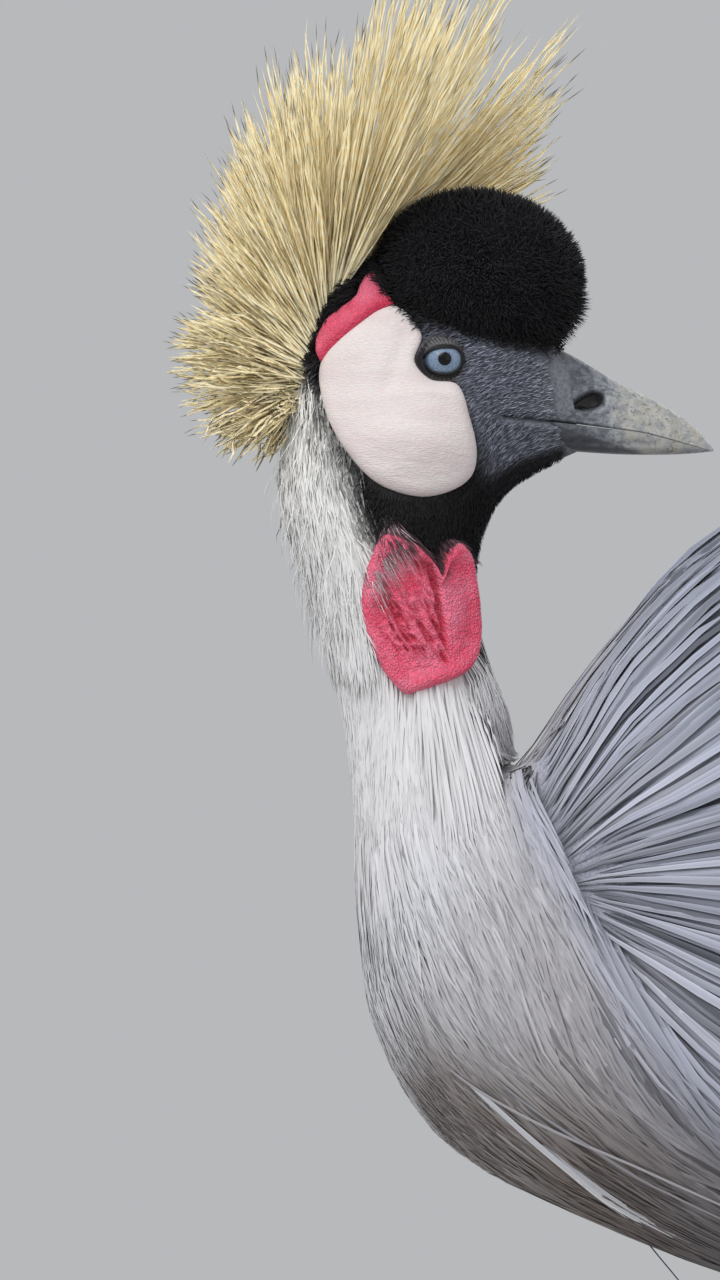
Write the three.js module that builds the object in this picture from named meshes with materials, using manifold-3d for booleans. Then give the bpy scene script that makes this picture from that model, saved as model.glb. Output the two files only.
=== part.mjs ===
// A grey crowned crane, life size, standing still and looking back over its own body.
// Millimetres, +Z up. The body faces -X and the head is turned round to face +X, so the
// bird's left wing and leg lie on -Y, and so does the right side of its head.
import * as THREE from 'three';
import { mergeVertices } from 'three/addons/utils/BufferGeometryUtils.js';
import Module from 'manifold-3d';

const wasm = await Module();
wasm.setup();

// Driving sizes.
const touchGap = 0.3; // clear space between two parts that touch
const smallDetail = 0.2; // what is left out where surfaces meet
const plumageDepth = 5; // how far the loose feathers stand off the trunk
const eyeRadius = 8.2;
const eyeSpot = { x: -152, y: 12.4, z: 730.4 };
const lidThickness = 1.5;
const eyeOpening = { wide: 6.5, high: 4.5 }; // half sizes
const billWidthAtBase = 9.6; // half width
const kneeSpot = { x: 0, y: 58, z: 452 };
const ankleSpot = { x: 68, y: 47, z: 216 };
const toeRootSpot = { x: 52, y: 47, z: 14 };

const black = 0x17171b;
const paleGrey = 0xb9b9bd;
const slate = 0x8f949c;

// Stations along the animal, from the base of the bill, over the head and down the neck, round
// the breast and back to the tail. Front is the line over crown, nape, breast and belly, rear
// is the line over chin, throat and back, each as x and z, and wide is half the width across.
const stations = [
  { name: 'billBase', front: [-110, 733], rear: [-105, 698.5], wide: 10, egg: 0 },
  { name: 'lore', front: [-129, 748], rear: [-118, 692.5], wide: 14.5, egg: -0.05 },
  { name: 'crown', front: [-158, 760], rear: [-130, 685], wide: 19.5, egg: -0.12 },
  { name: 'hindCrown', front: [-186, 755.5], rear: [-137, 676], wide: 22.5, egg: -0.12 },
  { name: 'occiput', front: [-199.5, 731], rear: [-140.5, 666], wide: 24, egg: -0.06 },
  { name: 'nape', front: [-204.5, 706], rear: [-142, 655], wide: 24.5, egg: 0 },
  { name: 'napeBulge', front: [-208.5, 684], rear: [-142, 643], wide: 25.5, egg: 0 },
  { name: 'upperNeck', front: [-200, 656], rear: [-138.5, 628], wide: 26.5, egg: 0 },
  { name: 'middleNeck', front: [-189, 617], rear: [-131, 608], wide: 27.5, egg: 0 },
  { name: 'lowerNeck', front: [-183.5, 580], rear: [-127.5, 594.5], wide: 31, egg: 0 },
  { name: 'neckBase', front: [-181.5, 540], rear: [-121.5, 603], wide: 40, egg: 0.03 },
  { name: 'breast', front: [-175, 498], rear: [-109, 622], wide: 55, egg: 0.06 },
  { name: 'foreBreast', front: [-151, 460], rear: [-93, 641], wide: 70, egg: 0.1 },
  { name: 'keel', front: [-109, 438], rear: [-70, 665], wide: 85, egg: 0.14 },
  { name: 'shoulder', front: [-57, 417], rear: [-36, 683], wide: 96, egg: 0.16 },
  { name: 'midBack', front: [0, 400], rear: [5, 690], wide: 102, egg: 0.16 },
  { name: 'flank', front: [60, 391], rear: [60, 684], wide: 102, egg: 0.14 },
  { name: 'loin', front: [120, 394], rear: [120, 657], wide: 94, egg: 0.12 },
  { name: 'rump', front: [175, 410], rear: [175, 618], wide: 78, egg: 0.08 },
  { name: 'tailHead', front: [220, 433], rear: [222, 573], wide: 53, egg: 0.04 },
  { name: 'tailRoot', front: [248, 455], rear: [255, 530], wide: 27, egg: 0 },
];
const lastStation = stations.length - 1;
const headEnd = 4.85; // station number of the cut between head and neck
const neckSplit = 7.25;
const neckEnd = 9.45;

const smoothThrough = (points) => new THREE.CatmullRomCurve3(points, false, 'catmullrom', 0.5);
const frontLine = smoothThrough(stations.map((s) => new THREE.Vector3(s.front[0], 0, s.front[1])));
const rearLine = smoothThrough(stations.map((s) => new THREE.Vector3(s.rear[0], 0, s.rear[1])));
const girthLine = smoothThrough(stations.map((s) => new THREE.Vector3(s.wide, s.egg, 0)));

// The section of the animal at a station: an egg-shaped ring between the two outlines. Forward
// is square to the section and points on to the next station.
function sectionAt(station) {
  const u = THREE.MathUtils.clamp(station / lastStation, 0, 1);
  const front = frontLine.getPoint(u);
  const rear = rearLine.getPoint(u);
  const girth = girthLine.getPoint(u);
  const centre = front.clone().add(rear).multiplyScalar(0.5);
  const reach = front.clone().sub(rear);
  const half = reach.length() / 2;
  const toFront = reach.normalize();
  const forward = new THREE.Vector3(-toFront.z, 0, toFront.x);
  const beyond = Math.min(station, 0) + Math.max(station - lastStation, 0);
  centre.addScaledVector(forward, beyond * 12);
  return { centre, toFront, forward, half, wide: girth.x, egg: girth.y };
}

// A point of the bare surface. Angle 0 is the front line, half a turn the rear line, and the
// angles between them lie on -Y.
function barePoint(station, angle) {
  const { centre, toFront, half, wide, egg } = sectionAt(station);
  const across = -Math.sin(angle) * wide * (1 + egg * Math.cos(angle));
  return centre.addScaledVector(toFront, Math.cos(angle) * half).setY(across);
}

function surfaceNormal(station, angle) {
  const along = barePoint(station + 0.05, angle).sub(barePoint(station - 0.05, angle));
  const round = barePoint(station, angle + 0.02).sub(barePoint(station, angle - 0.02));
  return along.cross(round).normalize();
}

// The same point lifted off the surface, square to it.
const surfacePoint = (station, angle, raise = 0) =>
  barePoint(station, angle).addScaledVector(surfaceNormal(station, angle), raise);

// A closed skin over rings of equal count, with a flat or pointed end at each side.
function loft(rings) {
  const around = rings[0].length;
  const positions = rings.flat().flatMap((p) => [p.x, p.y, p.z]);
  const index = [];
  const cornerAt = (i, j) => i * around + (j % around);
  for (let i = 0; i + 1 < rings.length; i++) {
    for (let j = 0; j < around; j++) {
      index.push(cornerAt(i, j), cornerAt(i, j + 1), cornerAt(i + 1, j + 1));
      index.push(cornerAt(i, j), cornerAt(i + 1, j + 1), cornerAt(i + 1, j));
    }
  }
  [0, rings.length - 1].forEach((end, k) => {
    const middle = new THREE.Vector3();
    rings[end].forEach((p) => middle.addScaledVector(p, 1 / around));
    const hub = positions.length / 3;
    positions.push(middle.x, middle.y, middle.z);
    for (let j = 0; j < around; j++) {
      const pair = [cornerAt(end, j), cornerAt(end, j + 1)];
      index.push(hub, ...(k ? pair : pair.reverse()));
    }
  });
  const geometry = new THREE.BufferGeometry();
  geometry.setAttribute('position', new THREE.Float32BufferAttribute(positions, 3));
  return geometry.setIndex(index);
}

const ringOf = (count, pointAt) =>
  Array.from({ length: count }, (_, j) => pointAt((2 * Math.PI * j) / count));

const spread = (from, to, count) =>
  Array.from({ length: count + 1 }, (_, i) => from + ((to - from) * i) / count);

// A geometry as a solid that can be joined and cut.
function solid(geometry) {
  const bare = (geometry.index ? geometry.toNonIndexed() : geometry).clone();
  Object.keys(bare.attributes).forEach((name) => name !== 'position' && bare.deleteAttribute(name));
  const merged = mergeVertices(bare, 1e-4);
  const triVerts = new Uint32Array(merged.index.array);
  const vertProperties = new Float32Array(merged.attributes.position.array);
  const made = new wasm.Manifold(new wasm.Mesh({ numProp: 3, vertProperties, triVerts }));
  if (made.volume() > 0) return made;
  for (let i = 0; i < triVerts.length; i += 3) {
    [triVerts[i], triVerts[i + 1]] = [triVerts[i + 1], triVerts[i]];
  }
  return new wasm.Manifold(new wasm.Mesh({ numProp: 3, vertProperties, triVerts }));
}

const joined = (pieces) => wasm.Manifold.union(pieces);
const largest = (made) =>
  made.decompose().reduce((best, piece) => (piece.volume() > best.volume() ? piece : best));

function meshOf(name, made, color, roughness = 0.8) {
  const { vertProperties, triVerts, numProp } = largest(made.simplify(smallDetail)).getMesh();
  const positions = new Float32Array((vertProperties.length / numProp) * 3);
  for (let i = 0; i < positions.length / 3; i++) {
    positions.set(vertProperties.subarray(i * numProp, i * numProp + 3), i * 3);
  }
  const geometry = new THREE.BufferGeometry();
  geometry.setAttribute('position', new THREE.BufferAttribute(positions, 3));
  geometry.setIndex(new THREE.BufferAttribute(new Uint32Array(triVerts), 1));
  geometry.computeVertexNormals();
  const material = new THREE.MeshStandardMaterial({ color, roughness, metalness: 0 });
  const mesh = new THREE.Mesh(geometry, material);
  mesh.name = name;
  return mesh;
}

// Repeatable chance, from 0 to 1.
function chanceFrom(seed) {
  let state = seed;
  return () => {
    state = (state * 1664525 + 1013904223) % 4294967296;
    return state / 4294967296;
  };
}

// A feather as a thin closed vane, ridged along its shaft on both faces and pointed at its tip.
// Path runs from root to tip as at, the way out of the vane, and half its width there.
function vane(path, thick) {
  const corners = [];
  const index = [
    [0, 2, 1],
    [0, 3, 2],
  ];
  const last = path.length - 1;
  path.slice(0, last).forEach((p, i) => {
    const along = path[i + 1].at.clone().sub(path[Math.max(i - 1, 0)].at);
    const across = along.clone().cross(p.out).normalize();
    const out = across.clone().cross(along).normalize();
    corners.push(
      p.at.clone().addScaledVector(across, -p.wide),
      p.at.clone().addScaledVector(out, thick / 2),
      p.at.clone().addScaledVector(across, p.wide),
      p.at.clone().addScaledVector(out, -thick / 2),
    );
  });
  corners.push(path[last].at);
  for (let i = 0; i < last; i++) {
    for (let k = 0; k < 4; k++) {
      const [here, next] = [4 * i + k, 4 * i + ((k + 1) % 4)];
      const [hereOn, nextOn] = [here + 4, next + 4];
      if (i === last - 1) index.push([here, next, 4 * last]);
      else if (k % 2) index.push([here, next, nextOn], [here, nextOn, hereOn]);
      else index.push([here, next, hereOn], [next, nextOn, hereOn]);
    }
  }
  const geometry = new THREE.BufferGeometry().setFromPoints(corners);
  return solid(geometry.setIndex(index.flat()));
}

// A bristle: three sided, tapered to a point.
function bristle(path, radii) {
  const corners = [];
  const index = [[0, 2, 1]];
  const last = path.length - 1;
  path.slice(0, last).forEach((p, i) => {
    const along = path[i + 1].clone().sub(p).normalize();
    const across = new THREE.Vector3(-along.z, 0.3, along.x).cross(along).normalize();
    const out = across.clone().cross(along);
    for (let k = 0; k < 3; k++) {
      const turn = (2 * Math.PI * k) / 3;
      corners.push(
        p
          .clone()
          .addScaledVector(across, Math.cos(turn) * radii[i])
          .addScaledVector(out, Math.sin(turn) * radii[i]),
      );
    }
  });
  corners.push(path[last]);
  for (let i = 0; i < last; i++) {
    for (let k = 0; k < 3; k++) {
      const [here, next] = [3 * i + k, 3 * i + ((k + 1) % 3)];
      if (i === last - 1) index.push([here, next, 3 * last]);
      else index.push([here, next, next + 3], [here, next + 3, here + 3]);
    }
  }
  const geometry = new THREE.BufferGeometry().setFromPoints(corners);
  return solid(geometry.setIndex(index.flat()));
}

// A feather laid on the skin from a station and angle, along the lie of the plumage: its root
// sunk, its tip lifted clear. Base is the height of the surface that it is rooted in.
function skinFeather(station, angle, { length, wide, lift, base, thick = 1.2 }) {
  const raises = [-1.6, 0.8, 1.8, lift];
  const widths = [0.5, 1, 0.8, 0];
  let here = station;
  const path = raises.map((raise, i) => {
    if (i) {
      const pace = barePoint(here + 0.1, angle).distanceTo(barePoint(here - 0.1, angle)) / 0.2;
      here += length / 3 / pace;
    }
    const out = surfaceNormal(here, angle);
    return { at: surfacePoint(here, angle, base + raise), out, wide: wide * widths[i] };
  });
  return vane(path, thick);
}

// Rows of such feathers, each row set half a step on from the one before it.
function featherRows(rows, make) {
  const feathers = [];
  rows.forEach(({ station, from, to, count }, r) => {
    for (let k = 0; k < count; k++) {
      const share = (k + (r % 2 ? 0.75 : 0.25)) / count;
      feathers.push(make(station, THREE.MathUtils.degToRad(from + (to - from) * share)));
    }
  });
  return feathers;
}

// A length of the animal between two stations, cut square at each end and set back there by
// half the gap, or let out past it when the length serves to clear space round itself.
function bodyLength(from, to, rings, around, raise = 0, setBack = touchGap / 2) {
  const raiseAt = typeof raise === 'function' ? raise : () => raise;
  const stationsHere = spread(from - 0.2, to + 0.2, rings);
  const skin = stationsHere.map((s) => 
    ringOf(around, (angle) => surfacePoint(s, angle, raiseAt(s, angle))),
  );
  const [first, last] = [sectionAt(from), sectionAt(to)];
  const firstPlane = first.forward.dot(first.centre) + setBack;
  const lastPlane = last.forward.dot(last.centre) - setBack;
  return solid(loft(skin))
    .trimByPlane(first.forward.toArray(), firstPlane)
    .trimByPlane(last.forward.clone().negate().toArray(), -lastPlane);
}

function ellipsoid(centre, radii, turn = 0, around = 20, high = 14) {
  const geometry = new THREE.SphereGeometry(1, around, high).rotateX(Math.PI / 2);
  geometry.scale(radii.x, radii.y, radii.z).rotateY(turn);
  return solid(geometry.translate(centre.x, centre.y, centre.z));
}

// A prism across the animal, between two distances on one side, from a closed outline in x, z.
function sidePrism(outline, near, far, side) {
  const shape = new THREE.Shape(outline);
  const geometry = new THREE.ExtrudeGeometry(shape, { depth: far - near, bevelEnabled: false });
  geometry.rotateX(Math.PI / 2).translate(0, side < 0 ? -near : far, 0);
  return solid(geometry);
}

const outlineThrough = (points, divisions) => {
  const flat = points.map(([x, z]) => new THREE.Vector3(x, z, 0));
  return new THREE.CatmullRomCurve3(flat, true, 'centripetal')
    .getPoints(divisions)
    .slice(0, -1)
    .map((p) => new THREE.Vector2(p.x, p.y));
};

// Head: skull with lids round each eye, the corner of the mouth and sockets for the eyes.
const headForm = (raise) => bodyLength(0, headEnd, 11, 18, raise, raise ? -touchGap : touchGap / 2);
const eyeAt = (side) => new THREE.Vector3(eyeSpot.x, side * eyeSpot.y, eyeSpot.z);
const eyeBall = (side, grow = 0) => {
  const r = eyeRadius + grow;
  return ellipsoid(eyeAt(side), new THREE.Vector3(r, r, r), 0, 12, 7);
};

// The line between the two halves of the bill, from its corner in the cheek to the tip.
const mouthLine = new THREE.CatmullRomCurve3(
  [
    [-131, 711],
    [-121.6, 709.8],
    [-111.9, 708.8],
    [-92.6, 706.4],
    [-82.9, 705],
    [-73.2, 702.6],
    [-57, 698.2],
  ].map(([x, z]) => new THREE.Vector3(x, 0, z)),
);

// A thin blade that follows the mouth line, for parting the bill and cutting its corner.
function mouthBlade(from, to, near, far, side, thick) {
  const points = spread(from, to, 8).map((u) => mouthLine.getPoint(u));
  const upper = points.map((p) => new THREE.Vector2(p.x, p.z + thick / 2));
  const lower = points.map((p) => new THREE.Vector2(p.x, p.z - thick / 2)).reverse();
  return sidePrism([...upper, ...lower], near, far, side);
}

function head() {
  const skull = [headForm(0)];
  const cuts = [];
  for (const side of [-1, 1]) {
    const r = eyeRadius + lidThickness;
    skull.push(ellipsoid(eyeAt(side), new THREE.Vector3(r, r, r * 0.92), 0, 10, 6));
    const lidGap = outlineThrough(
      [
        [eyeSpot.x - eyeOpening.wide, eyeSpot.z - 0.8],
        [eyeSpot.x, eyeSpot.z + eyeOpening.high],
        [eyeSpot.x + eyeOpening.wide, eyeSpot.z + 0.8],
        [eyeSpot.x, eyeSpot.z - eyeOpening.high],
      ],
      16,
    );
    cuts.push(sidePrism(lidGap, eyeSpot.y, 40, side), eyeBall(side, touchGap));
    cuts.push(mouthBlade(0, 0.32, 8, 40, side, 0.8));
  }
  return joined(skull).subtract(joined(cuts));
}

// Bill: one form between culmen and keel, parted along the mouth line, with a nostril each side.
const culmenLine = [
  [-109.7, 732.8],
  [-92.6, 722.9],
  [-73.2, 712.7],
  [-64, 705.6],
  [-59.2, 699.8],
].map(([x, z]) => new THREE.Vector3(x, 0, z));
const keelLine = [
  [-104.7, 698.6],
  [-91, 697.8],
  [-75, 697.7],
  [-65.5, 698.2],
  [-59.2, 698.9],
].map(([x, z]) => new THREE.Vector3(x, 0, z));

function billForm() {
  const culmen = new THREE.CatmullRomCurve3(culmenLine);
  const keel = new THREE.CatmullRomCurve3(keelLine);
  const rings = spread(0, 1, 7).map((u) => {
    const top = culmen.getPoint(u);
    const low = keel.getPoint(u);
    const wide = billWidthAtBase * Math.pow(1 - u, 0.8) + 0.9 * u;
    return ringOf(14, (angle) => {
      const rise = Math.cos(angle);
      const swell = Math.sign(Math.sin(angle)) * Math.pow(Math.abs(Math.sin(angle)), 0.8);
      const p = low.clone().lerp(top, 0.5 + 0.5 * rise);
      return p.setY(-swell * wide * (1 - 0.18 * rise));
    });
  });
  return solid(loft(rings));
}

const nostrilSpot = { x: -102, y: 8.6, z: 715.8 };
const nostrilSize = new THREE.Vector3(6, 3.2, 2.8);

function billHalves() {
  const base = sectionAt(0);
  const whole = billForm().trimByPlane(
    base.forward.clone().negate().toArray(),
    -base.forward.dot(base.centre) + touchGap / 2,
  );
  const blade = mouthBlade(0.2, 1, -30, 30, -1, touchGap);
  const nostrils = [-1, 1].map((side) =>
    ellipsoid({ ...nostrilSpot, y: side * nostrilSpot.y }, nostrilSize, -0.28, 8, 6),
  );
  const halves = whole.subtract(joined([blade, ...nostrils])).decompose();
  const heightOf = (half) => half.boundingBox().max[2];
  halves.sort((a, b) => b.volume() - a.volume());
  return halves.slice(0, 2).sort((a, b) => heightOf(b) - heightOf(a));
}

// Bare skin of the face: a white cheek and a rose patch above it, as raised plates.
const cheekOutline = outlineThrough(
  [
    [-170.3, 748.6],
    [-160, 739],
    [-162.4, 729.7],
    [-157, 723.4],
    [-147.7, 721.6],
    [-143.4, 710.4],
    [-140.6, 697],
    [-146, 689.2],
    [-162.3, 685.4],
    [-181.6, 693.6],
    [-194, 714],
    [-194.2, 728.6],
    [-181.5, 741.2],
  ],
  24,
);
const roseOutline = outlineThrough(
  [
    [-175.6, 762],
    [-183, 753.6],
    [-193, 744],
    [-196.6, 735.5],
    [-195, 730.2],
    [-182.4, 741.8],
    [-171.2, 749.6],
  ],
  14,
);

function facePlate(outline, depth, side) {
  const around = headForm(depth);
  return sidePrism(outline, 2, 60, side).intersect(around);
}

// The lower half of the cheek hangs as a soft lobe.
const cheekLobe = (side, grow) =>
  ellipsoid(
    { x: -163, y: side * 17, z: 703 },
    new THREE.Vector3(22 + grow, 11 + grow, 19 + grow),
    0,
    10,
    6,
  );

function cheek(side) {
  const lobe = sidePrism(cheekOutline, 2, 60, side).intersect(cheekLobe(side, 0));
  return facePlate(cheekOutline, 2.2, side).add(lobe).subtract(headForm(touchGap));
}
const rosePatch = (side) => facePlate(roseOutline, 1.8, side).subtract(headForm(touchGap));

// An outline moved outward by a clearance.
function outlineAround(outline, clearance) {
  const grown = new wasm.CrossSection([outline.map((p) => [p.x, p.y])], 'NonZero').offset(clearance);
  return grown.toPolygons()[0].map(([x, z]) => new THREE.Vector2(x, z));
}

// Crown cushion: a ball of short stiff plush on the forehead.
const cushionSpot = { x: -139.6, y: 0, z: 760.2 };
const cushionSize = new THREE.Vector3(37.2, 27, 30.4);
const cushionForm = (grow = 0) =>
  ellipsoid(cushionSpot, cushionSize.clone().addScalar(grow), 0.16, 18, 10);

// Crest: a fan of stiff bristles from the back of the crown.
const crestRoot = { x: -187, z: 744 };
const crestReach = [
  { turn: 30, reach: 78 },
  { turn: 45, reach: 108 },
  { turn: 65, reach: 124 },
  { turn: 85, reach: 112 },
  { turn: 105, reach: 96 },
  { turn: 130, reach: 80 },
  { turn: 160, reach: 64 },
  { turn: 195, reach: 64 },
  { turn: 232, reach: 52 },
];
const crestHalfSpread = 34; // degrees to each side

function crestReachAt(turn) {
  const last = crestReach.length - 1;
  const i = Math.max(1, crestReach.findIndex((c, k) => k === last || turn < c.turn));
  const [a, b] = [crestReach[i - 1], crestReach[i]];
  const share = THREE.MathUtils.clamp((turn - a.turn) / (b.turn - a.turn), 0, 1);
  return THREE.MathUtils.lerp(a.reach, b.reach, share);
}

// The bristles start along the back of the crown, from its top down to the nape.
const crestTop = new THREE.Vector3(-180, 0, 765);
const crestFoot = new THREE.Vector3(-201, 0, 719);
const crestFirst = 30; // degrees, of the foremost bristle
const crestSweep = 203;
const crestRows = [-31, -20.5, -10, 0, 10, 20.5, 31];
const crestPerRow = 13;

// Moves a point out of the cushion if it lies inside it.
function clearOfCushion(point) {
  const from = point.clone().sub(cushionSpot);
  const share = from.clone().divide(cushionSize.clone().addScalar(2.5)).length();
  return share < 1 ? from.divideScalar(share).add(cushionSpot) : point;
}

function crest() {
  const chance = chanceFrom(11);
  const bristles = crestRows.flatMap((lean, row) =>
    spread(0, 1, crestPerRow - 1).map((step) => {
      const along = THREE.MathUtils.clamp(step + ((row % 2) - 0.5) * (0.5 / crestPerRow), 0, 1);
      const turn = crestFirst + crestSweep * along + 4 * (chance() - 0.5);
      const angle = THREE.MathUtils.degToRad(turn);
      const side = THREE.MathUtils.degToRad(lean + 4 * (chance() - 0.5));
      const reach = crestReachAt(turn) * (0.86 + 0.16 * chance());
      const root = crestTop.clone().lerp(crestFoot, along);
      root.y = lean * 0.3;
      const tip = new THREE.Vector3(
        crestRoot.x + Math.cos(angle) * Math.cos(side) * reach,
        Math.sin(side) * reach,
        crestRoot.z + Math.sin(angle) * Math.cos(side) * reach,
      );
      const middle = root.clone().lerp(tip, 0.5);
      const bent = clearOfCushion(middle.clone());
      const nearCushion = bent.distanceTo(middle) > 0.1;
      const path = nearCushion ? [root, bent, clearOfCushion(tip)] : [root, tip];
      return bristle(path, [1.4, 0.9]);
    }),
  );
  const padSpot = crestTop.clone().lerp(crestFoot, 0.48);
  const pad = ellipsoid(padSpot, new THREE.Vector3(8, 14, 26), 0.44, 10, 6);
  return joined([pad, ...bristles]);
}

// Wattle: a bare red bib on the throat, swung to the side that the head is turned from. Its
// outline is given by the turn round the neck, from -Y towards +X, and by height.
const wattleThick = 4.2;
const wattleMiddle = { turn: 24, z: 642 };
const wattleOutline = new THREE.CatmullRomCurve3(
  [
    [-7, 668],
    [-19, 658],
    [-25, 648],
    [-26.5, 636],
    [-21, 623],
    [-10, 615],
    [3, 616],
    [24, 619],
    [42, 622.5],
    [58, 628],
    [70, 637],
    [75, 648],
    [72, 658],
    [62, 667],
    [46, 670],
    [37, 666],
    [31, 657.5],
    [24, 666],
    [10, 671],
  ].map(([turn, z]) => new THREE.Vector3(turn, z, 0)),
  true,
  'centripetal',
);
const throatColumn = smoothThrough([
  new THREE.Vector3(-159.5, 28, 610),
  new THREE.Vector3(-165, 27, 635),
  new THREE.Vector3(-169, 29.5, 657),
  new THREE.Vector3(-173, 31, 676),
]);

// A point round the throat: the column's middle and radius come from the height.
function throatPoint(turn, z, raise) {
  const column = throatColumn.getPoint(THREE.MathUtils.clamp((z - 610) / 66, 0, 1));
  const angle = THREE.MathUtils.degToRad(turn);
  const x = column.x + (column.y + raise) * Math.sin(angle);
  return new THREE.Vector3(x, -(26 + raise) * Math.cos(angle), z);
}

// The bib is creased down its middle, and folded lengthwise on the side that is pushed together.
function wattleRelief(turn, z) {
  const crease = Math.exp(-Math.pow((turn - 21) / 5, 2)) * THREE.MathUtils.smoothstep(z, 624, 640);
  const folds = Math.cos((turn + 0.5 * (z - 640)) * 0.42) * (turn < 14 ? 0.55 : 0.15);
  return folds - 1.7 * crease;
}

function wattleForm() {
  const rows = [
    { share: 1, raise: 0.7 },
    { share: 0.95, raise: wattleThick },
    { share: 0.8, raise: wattleThick * 0.95 },
    { share: 0.55, raise: wattleThick * 0.65 },
    { share: 0.28, raise: wattleThick * 0.65 },
    { share: 0.08, raise: wattleThick * 0.65 },
  ];
  const sheet = (share, raise) =>
    ringOf(26, (angle) => {
      const edge = wattleOutline.getPoint(angle / (2 * Math.PI));
      const turn = THREE.MathUtils.lerp(wattleMiddle.turn, edge.x, share);
      const z = THREE.MathUtils.lerp(wattleMiddle.z, edge.y, share);
      const relief = raise > 1 ? wattleRelief(turn, z) : 0;
      return throatPoint(turn, z, raise + relief);
    });
  const inner = [...rows].reverse().map((row) => sheet(row.share, -3));
  const outer = rows.map((row) => sheet(row.share, row.raise));
  return solid(loft([...inner, ...outer]));
}

// Trunk, neck and the loose plumage over the back.
function coatAt(station, angle) {
  const onBack = THREE.MathUtils.smoothstep(-Math.cos(angle), 0.2, 0.6);
  const depth = plumageDepth + 4 * onBack * THREE.MathUtils.smoothstep(station, 10, 12);
  return -depth * THREE.MathUtils.smoothstep(station, neckEnd - 2, neckEnd + 2);
}
const lengthOf = (from, to, rings, around) => {
  return (grow = 0) => {
    const raise = (s, angle) => coatAt(s, angle) + grow;
    return bodyLength(from, to, rings, around, raise, grow ? -grow : touchGap / 2);
  };
};
const trunk = lengthOf(neckEnd, lastStation, 13, 18);
const upperNeck = lengthOf(headEnd, neckSplit, 5, 20);
const lowerNeck = lengthOf(neckSplit, neckEnd, 5, 20);

// Mantle: a hood over the back, laid with long narrow feathers that fan out from the neck.
const mantleEdge = 118; // degrees, of its lower edge on each side
const mantleHeight = -2.6; // of the hood under its feathers
const mantleRows = [
  { station: 10.1, from: 126, to: 234, count: 4 },
  { station: 11.7, from: 122, to: 238, count: 5 },
  { station: 13.05, from: 122, to: 238, count: 6 },
  { station: 14.3, from: 122, to: 238, count: 6 },
  { station: 15.5, from: 123, to: 237, count: 6 },
];

// The band over the back between two heights off the skin.
function backBand(edge, low, high, from, to) {
  const [start, end] = [edge, 360 - edge].map(THREE.MathUtils.degToRad);
  const rings = spread(from, to, 9).map((s, i, all) => {
    const taper = i === 0 || i === all.length - 1 ? 0.4 : 1;
    return [
      ...spread(start, end, 8).map((angle) => surfacePoint(s, angle, low + (high - low) * taper)),
      ...spread(end, start, 8).map((angle) => surfacePoint(s, angle, low)),
    ];
  });
  return solid(loft(rings));
}

function mantle() {
  const feathers = featherRows(mantleRows, (station, angle) =>
    skinFeather(station, angle, { length: 78, wide: 13.5, lift: 4.4, base: mantleHeight }),
  );
  const hood = backBand(mantleEdge, -13, mantleHeight, 9.7, 17.4);
  const under = [trunk(touchGap), lowerNeck(touchGap), ...wingSpaces];
  return joined([hood, ...feathers]).subtract(joined(under));
}

// Trunk, with the hackles of the breast.
const breastRows = [
  { station: 9.85, from: -104, to: 104, count: 6 },
  { station: 10.95, from: -104, to: 104, count: 8 },
  { station: 12.1, from: -104, to: 104, count: 9 },
];

function torso() {
  const feathers = featherRows(breastRows, (station, angle) =>
    skinFeather(station, angle, { length: 70, wide: 11.5, lift: 5, base: coatAt(station, angle) }),
  );
  const mantleSpace = backBand(mantleEdge - 7, -13, 6, 9.3, 17.6);
  const around = [lowerNeck(touchGap), mantleSpace, ...wingSpaces, ...[-1, 1].map(thighSpace)];
  return joined([trunk(), joined(feathers).subtract(joined(around))]);
}

// Neck, with short locks down the nape and round it below.
const napeRows = [
  { station: 5.1, from: -100, to: 50, count: 5 },
  { station: 6.1, from: -130, to: 50, count: 6 },
];
const lowNeckRows = [
  { station: 7.45, from: -170, to: 48, count: 7 },
  { station: 8.4, from: -180, to: 180, count: 8 },
];

function neckPart(length, rows, feather) {
  const locks = featherRows(rows, (station, angle) =>
    skinFeather(station, angle, { ...feather, base: coatAt(station, angle) }),
  );
  return length().add(joined(locks));
}

const neckLock = { length: 33, wide: 5.4, lift: 2.2, thick: 1 };
const neckHackle = { length: 38, wide: 7, lift: 2.6, thick: 1 };

// Wing, folded against the flank: a shell under tiers of feathers.
const wingStations = [
  { x: -56, z: 530, high: 16, y: 86, out: 2 },
  { x: -40, z: 528, high: 42, y: 97, out: 6 },
  { x: 0, z: 523, high: 60, y: 104, out: 8 },
  { x: 50, z: 520, high: 66, y: 107, out: 9 },
  { x: 110, z: 516, high: 62, y: 101, out: 8 },
  { x: 170, z: 507, high: 53, y: 85, out: 7 },
  { x: 240, z: 490, high: 40, y: 62, out: 6 },
  { x: 320, z: 466, high: 27, y: 40, out: 4 },
  { x: 402, z: 436, high: 12, y: 24, out: 2 },
];
const wingPlace = smoothThrough(wingStations.map((w) => new THREE.Vector3(w.x, w.y, w.z)));
const wingSize = smoothThrough(wingStations.map((w) => new THREE.Vector3(w.high, w.out, 0)));
const shellEnd = 0.86; // share of the wing's length that its shell takes

// A point on the outer face of a wing: along its length, and across from -1 below to 1 above.
function wingPoint(side, along, across, raise = 0) {
  const p = wingPlace.getPoint(THREE.MathUtils.clamp(along, 0, 1));
  const size = wingSize.getPoint(THREE.MathUtils.clamp(along, 0, 1));
  const lift = across * size.x;
  const bulge = size.y * Math.sqrt(Math.max(0, 1 - across * across));
  return new THREE.Vector3(p.x, side * (p.y - 0.0016 * lift * lift + bulge + raise), p.z + lift);
}

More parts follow.
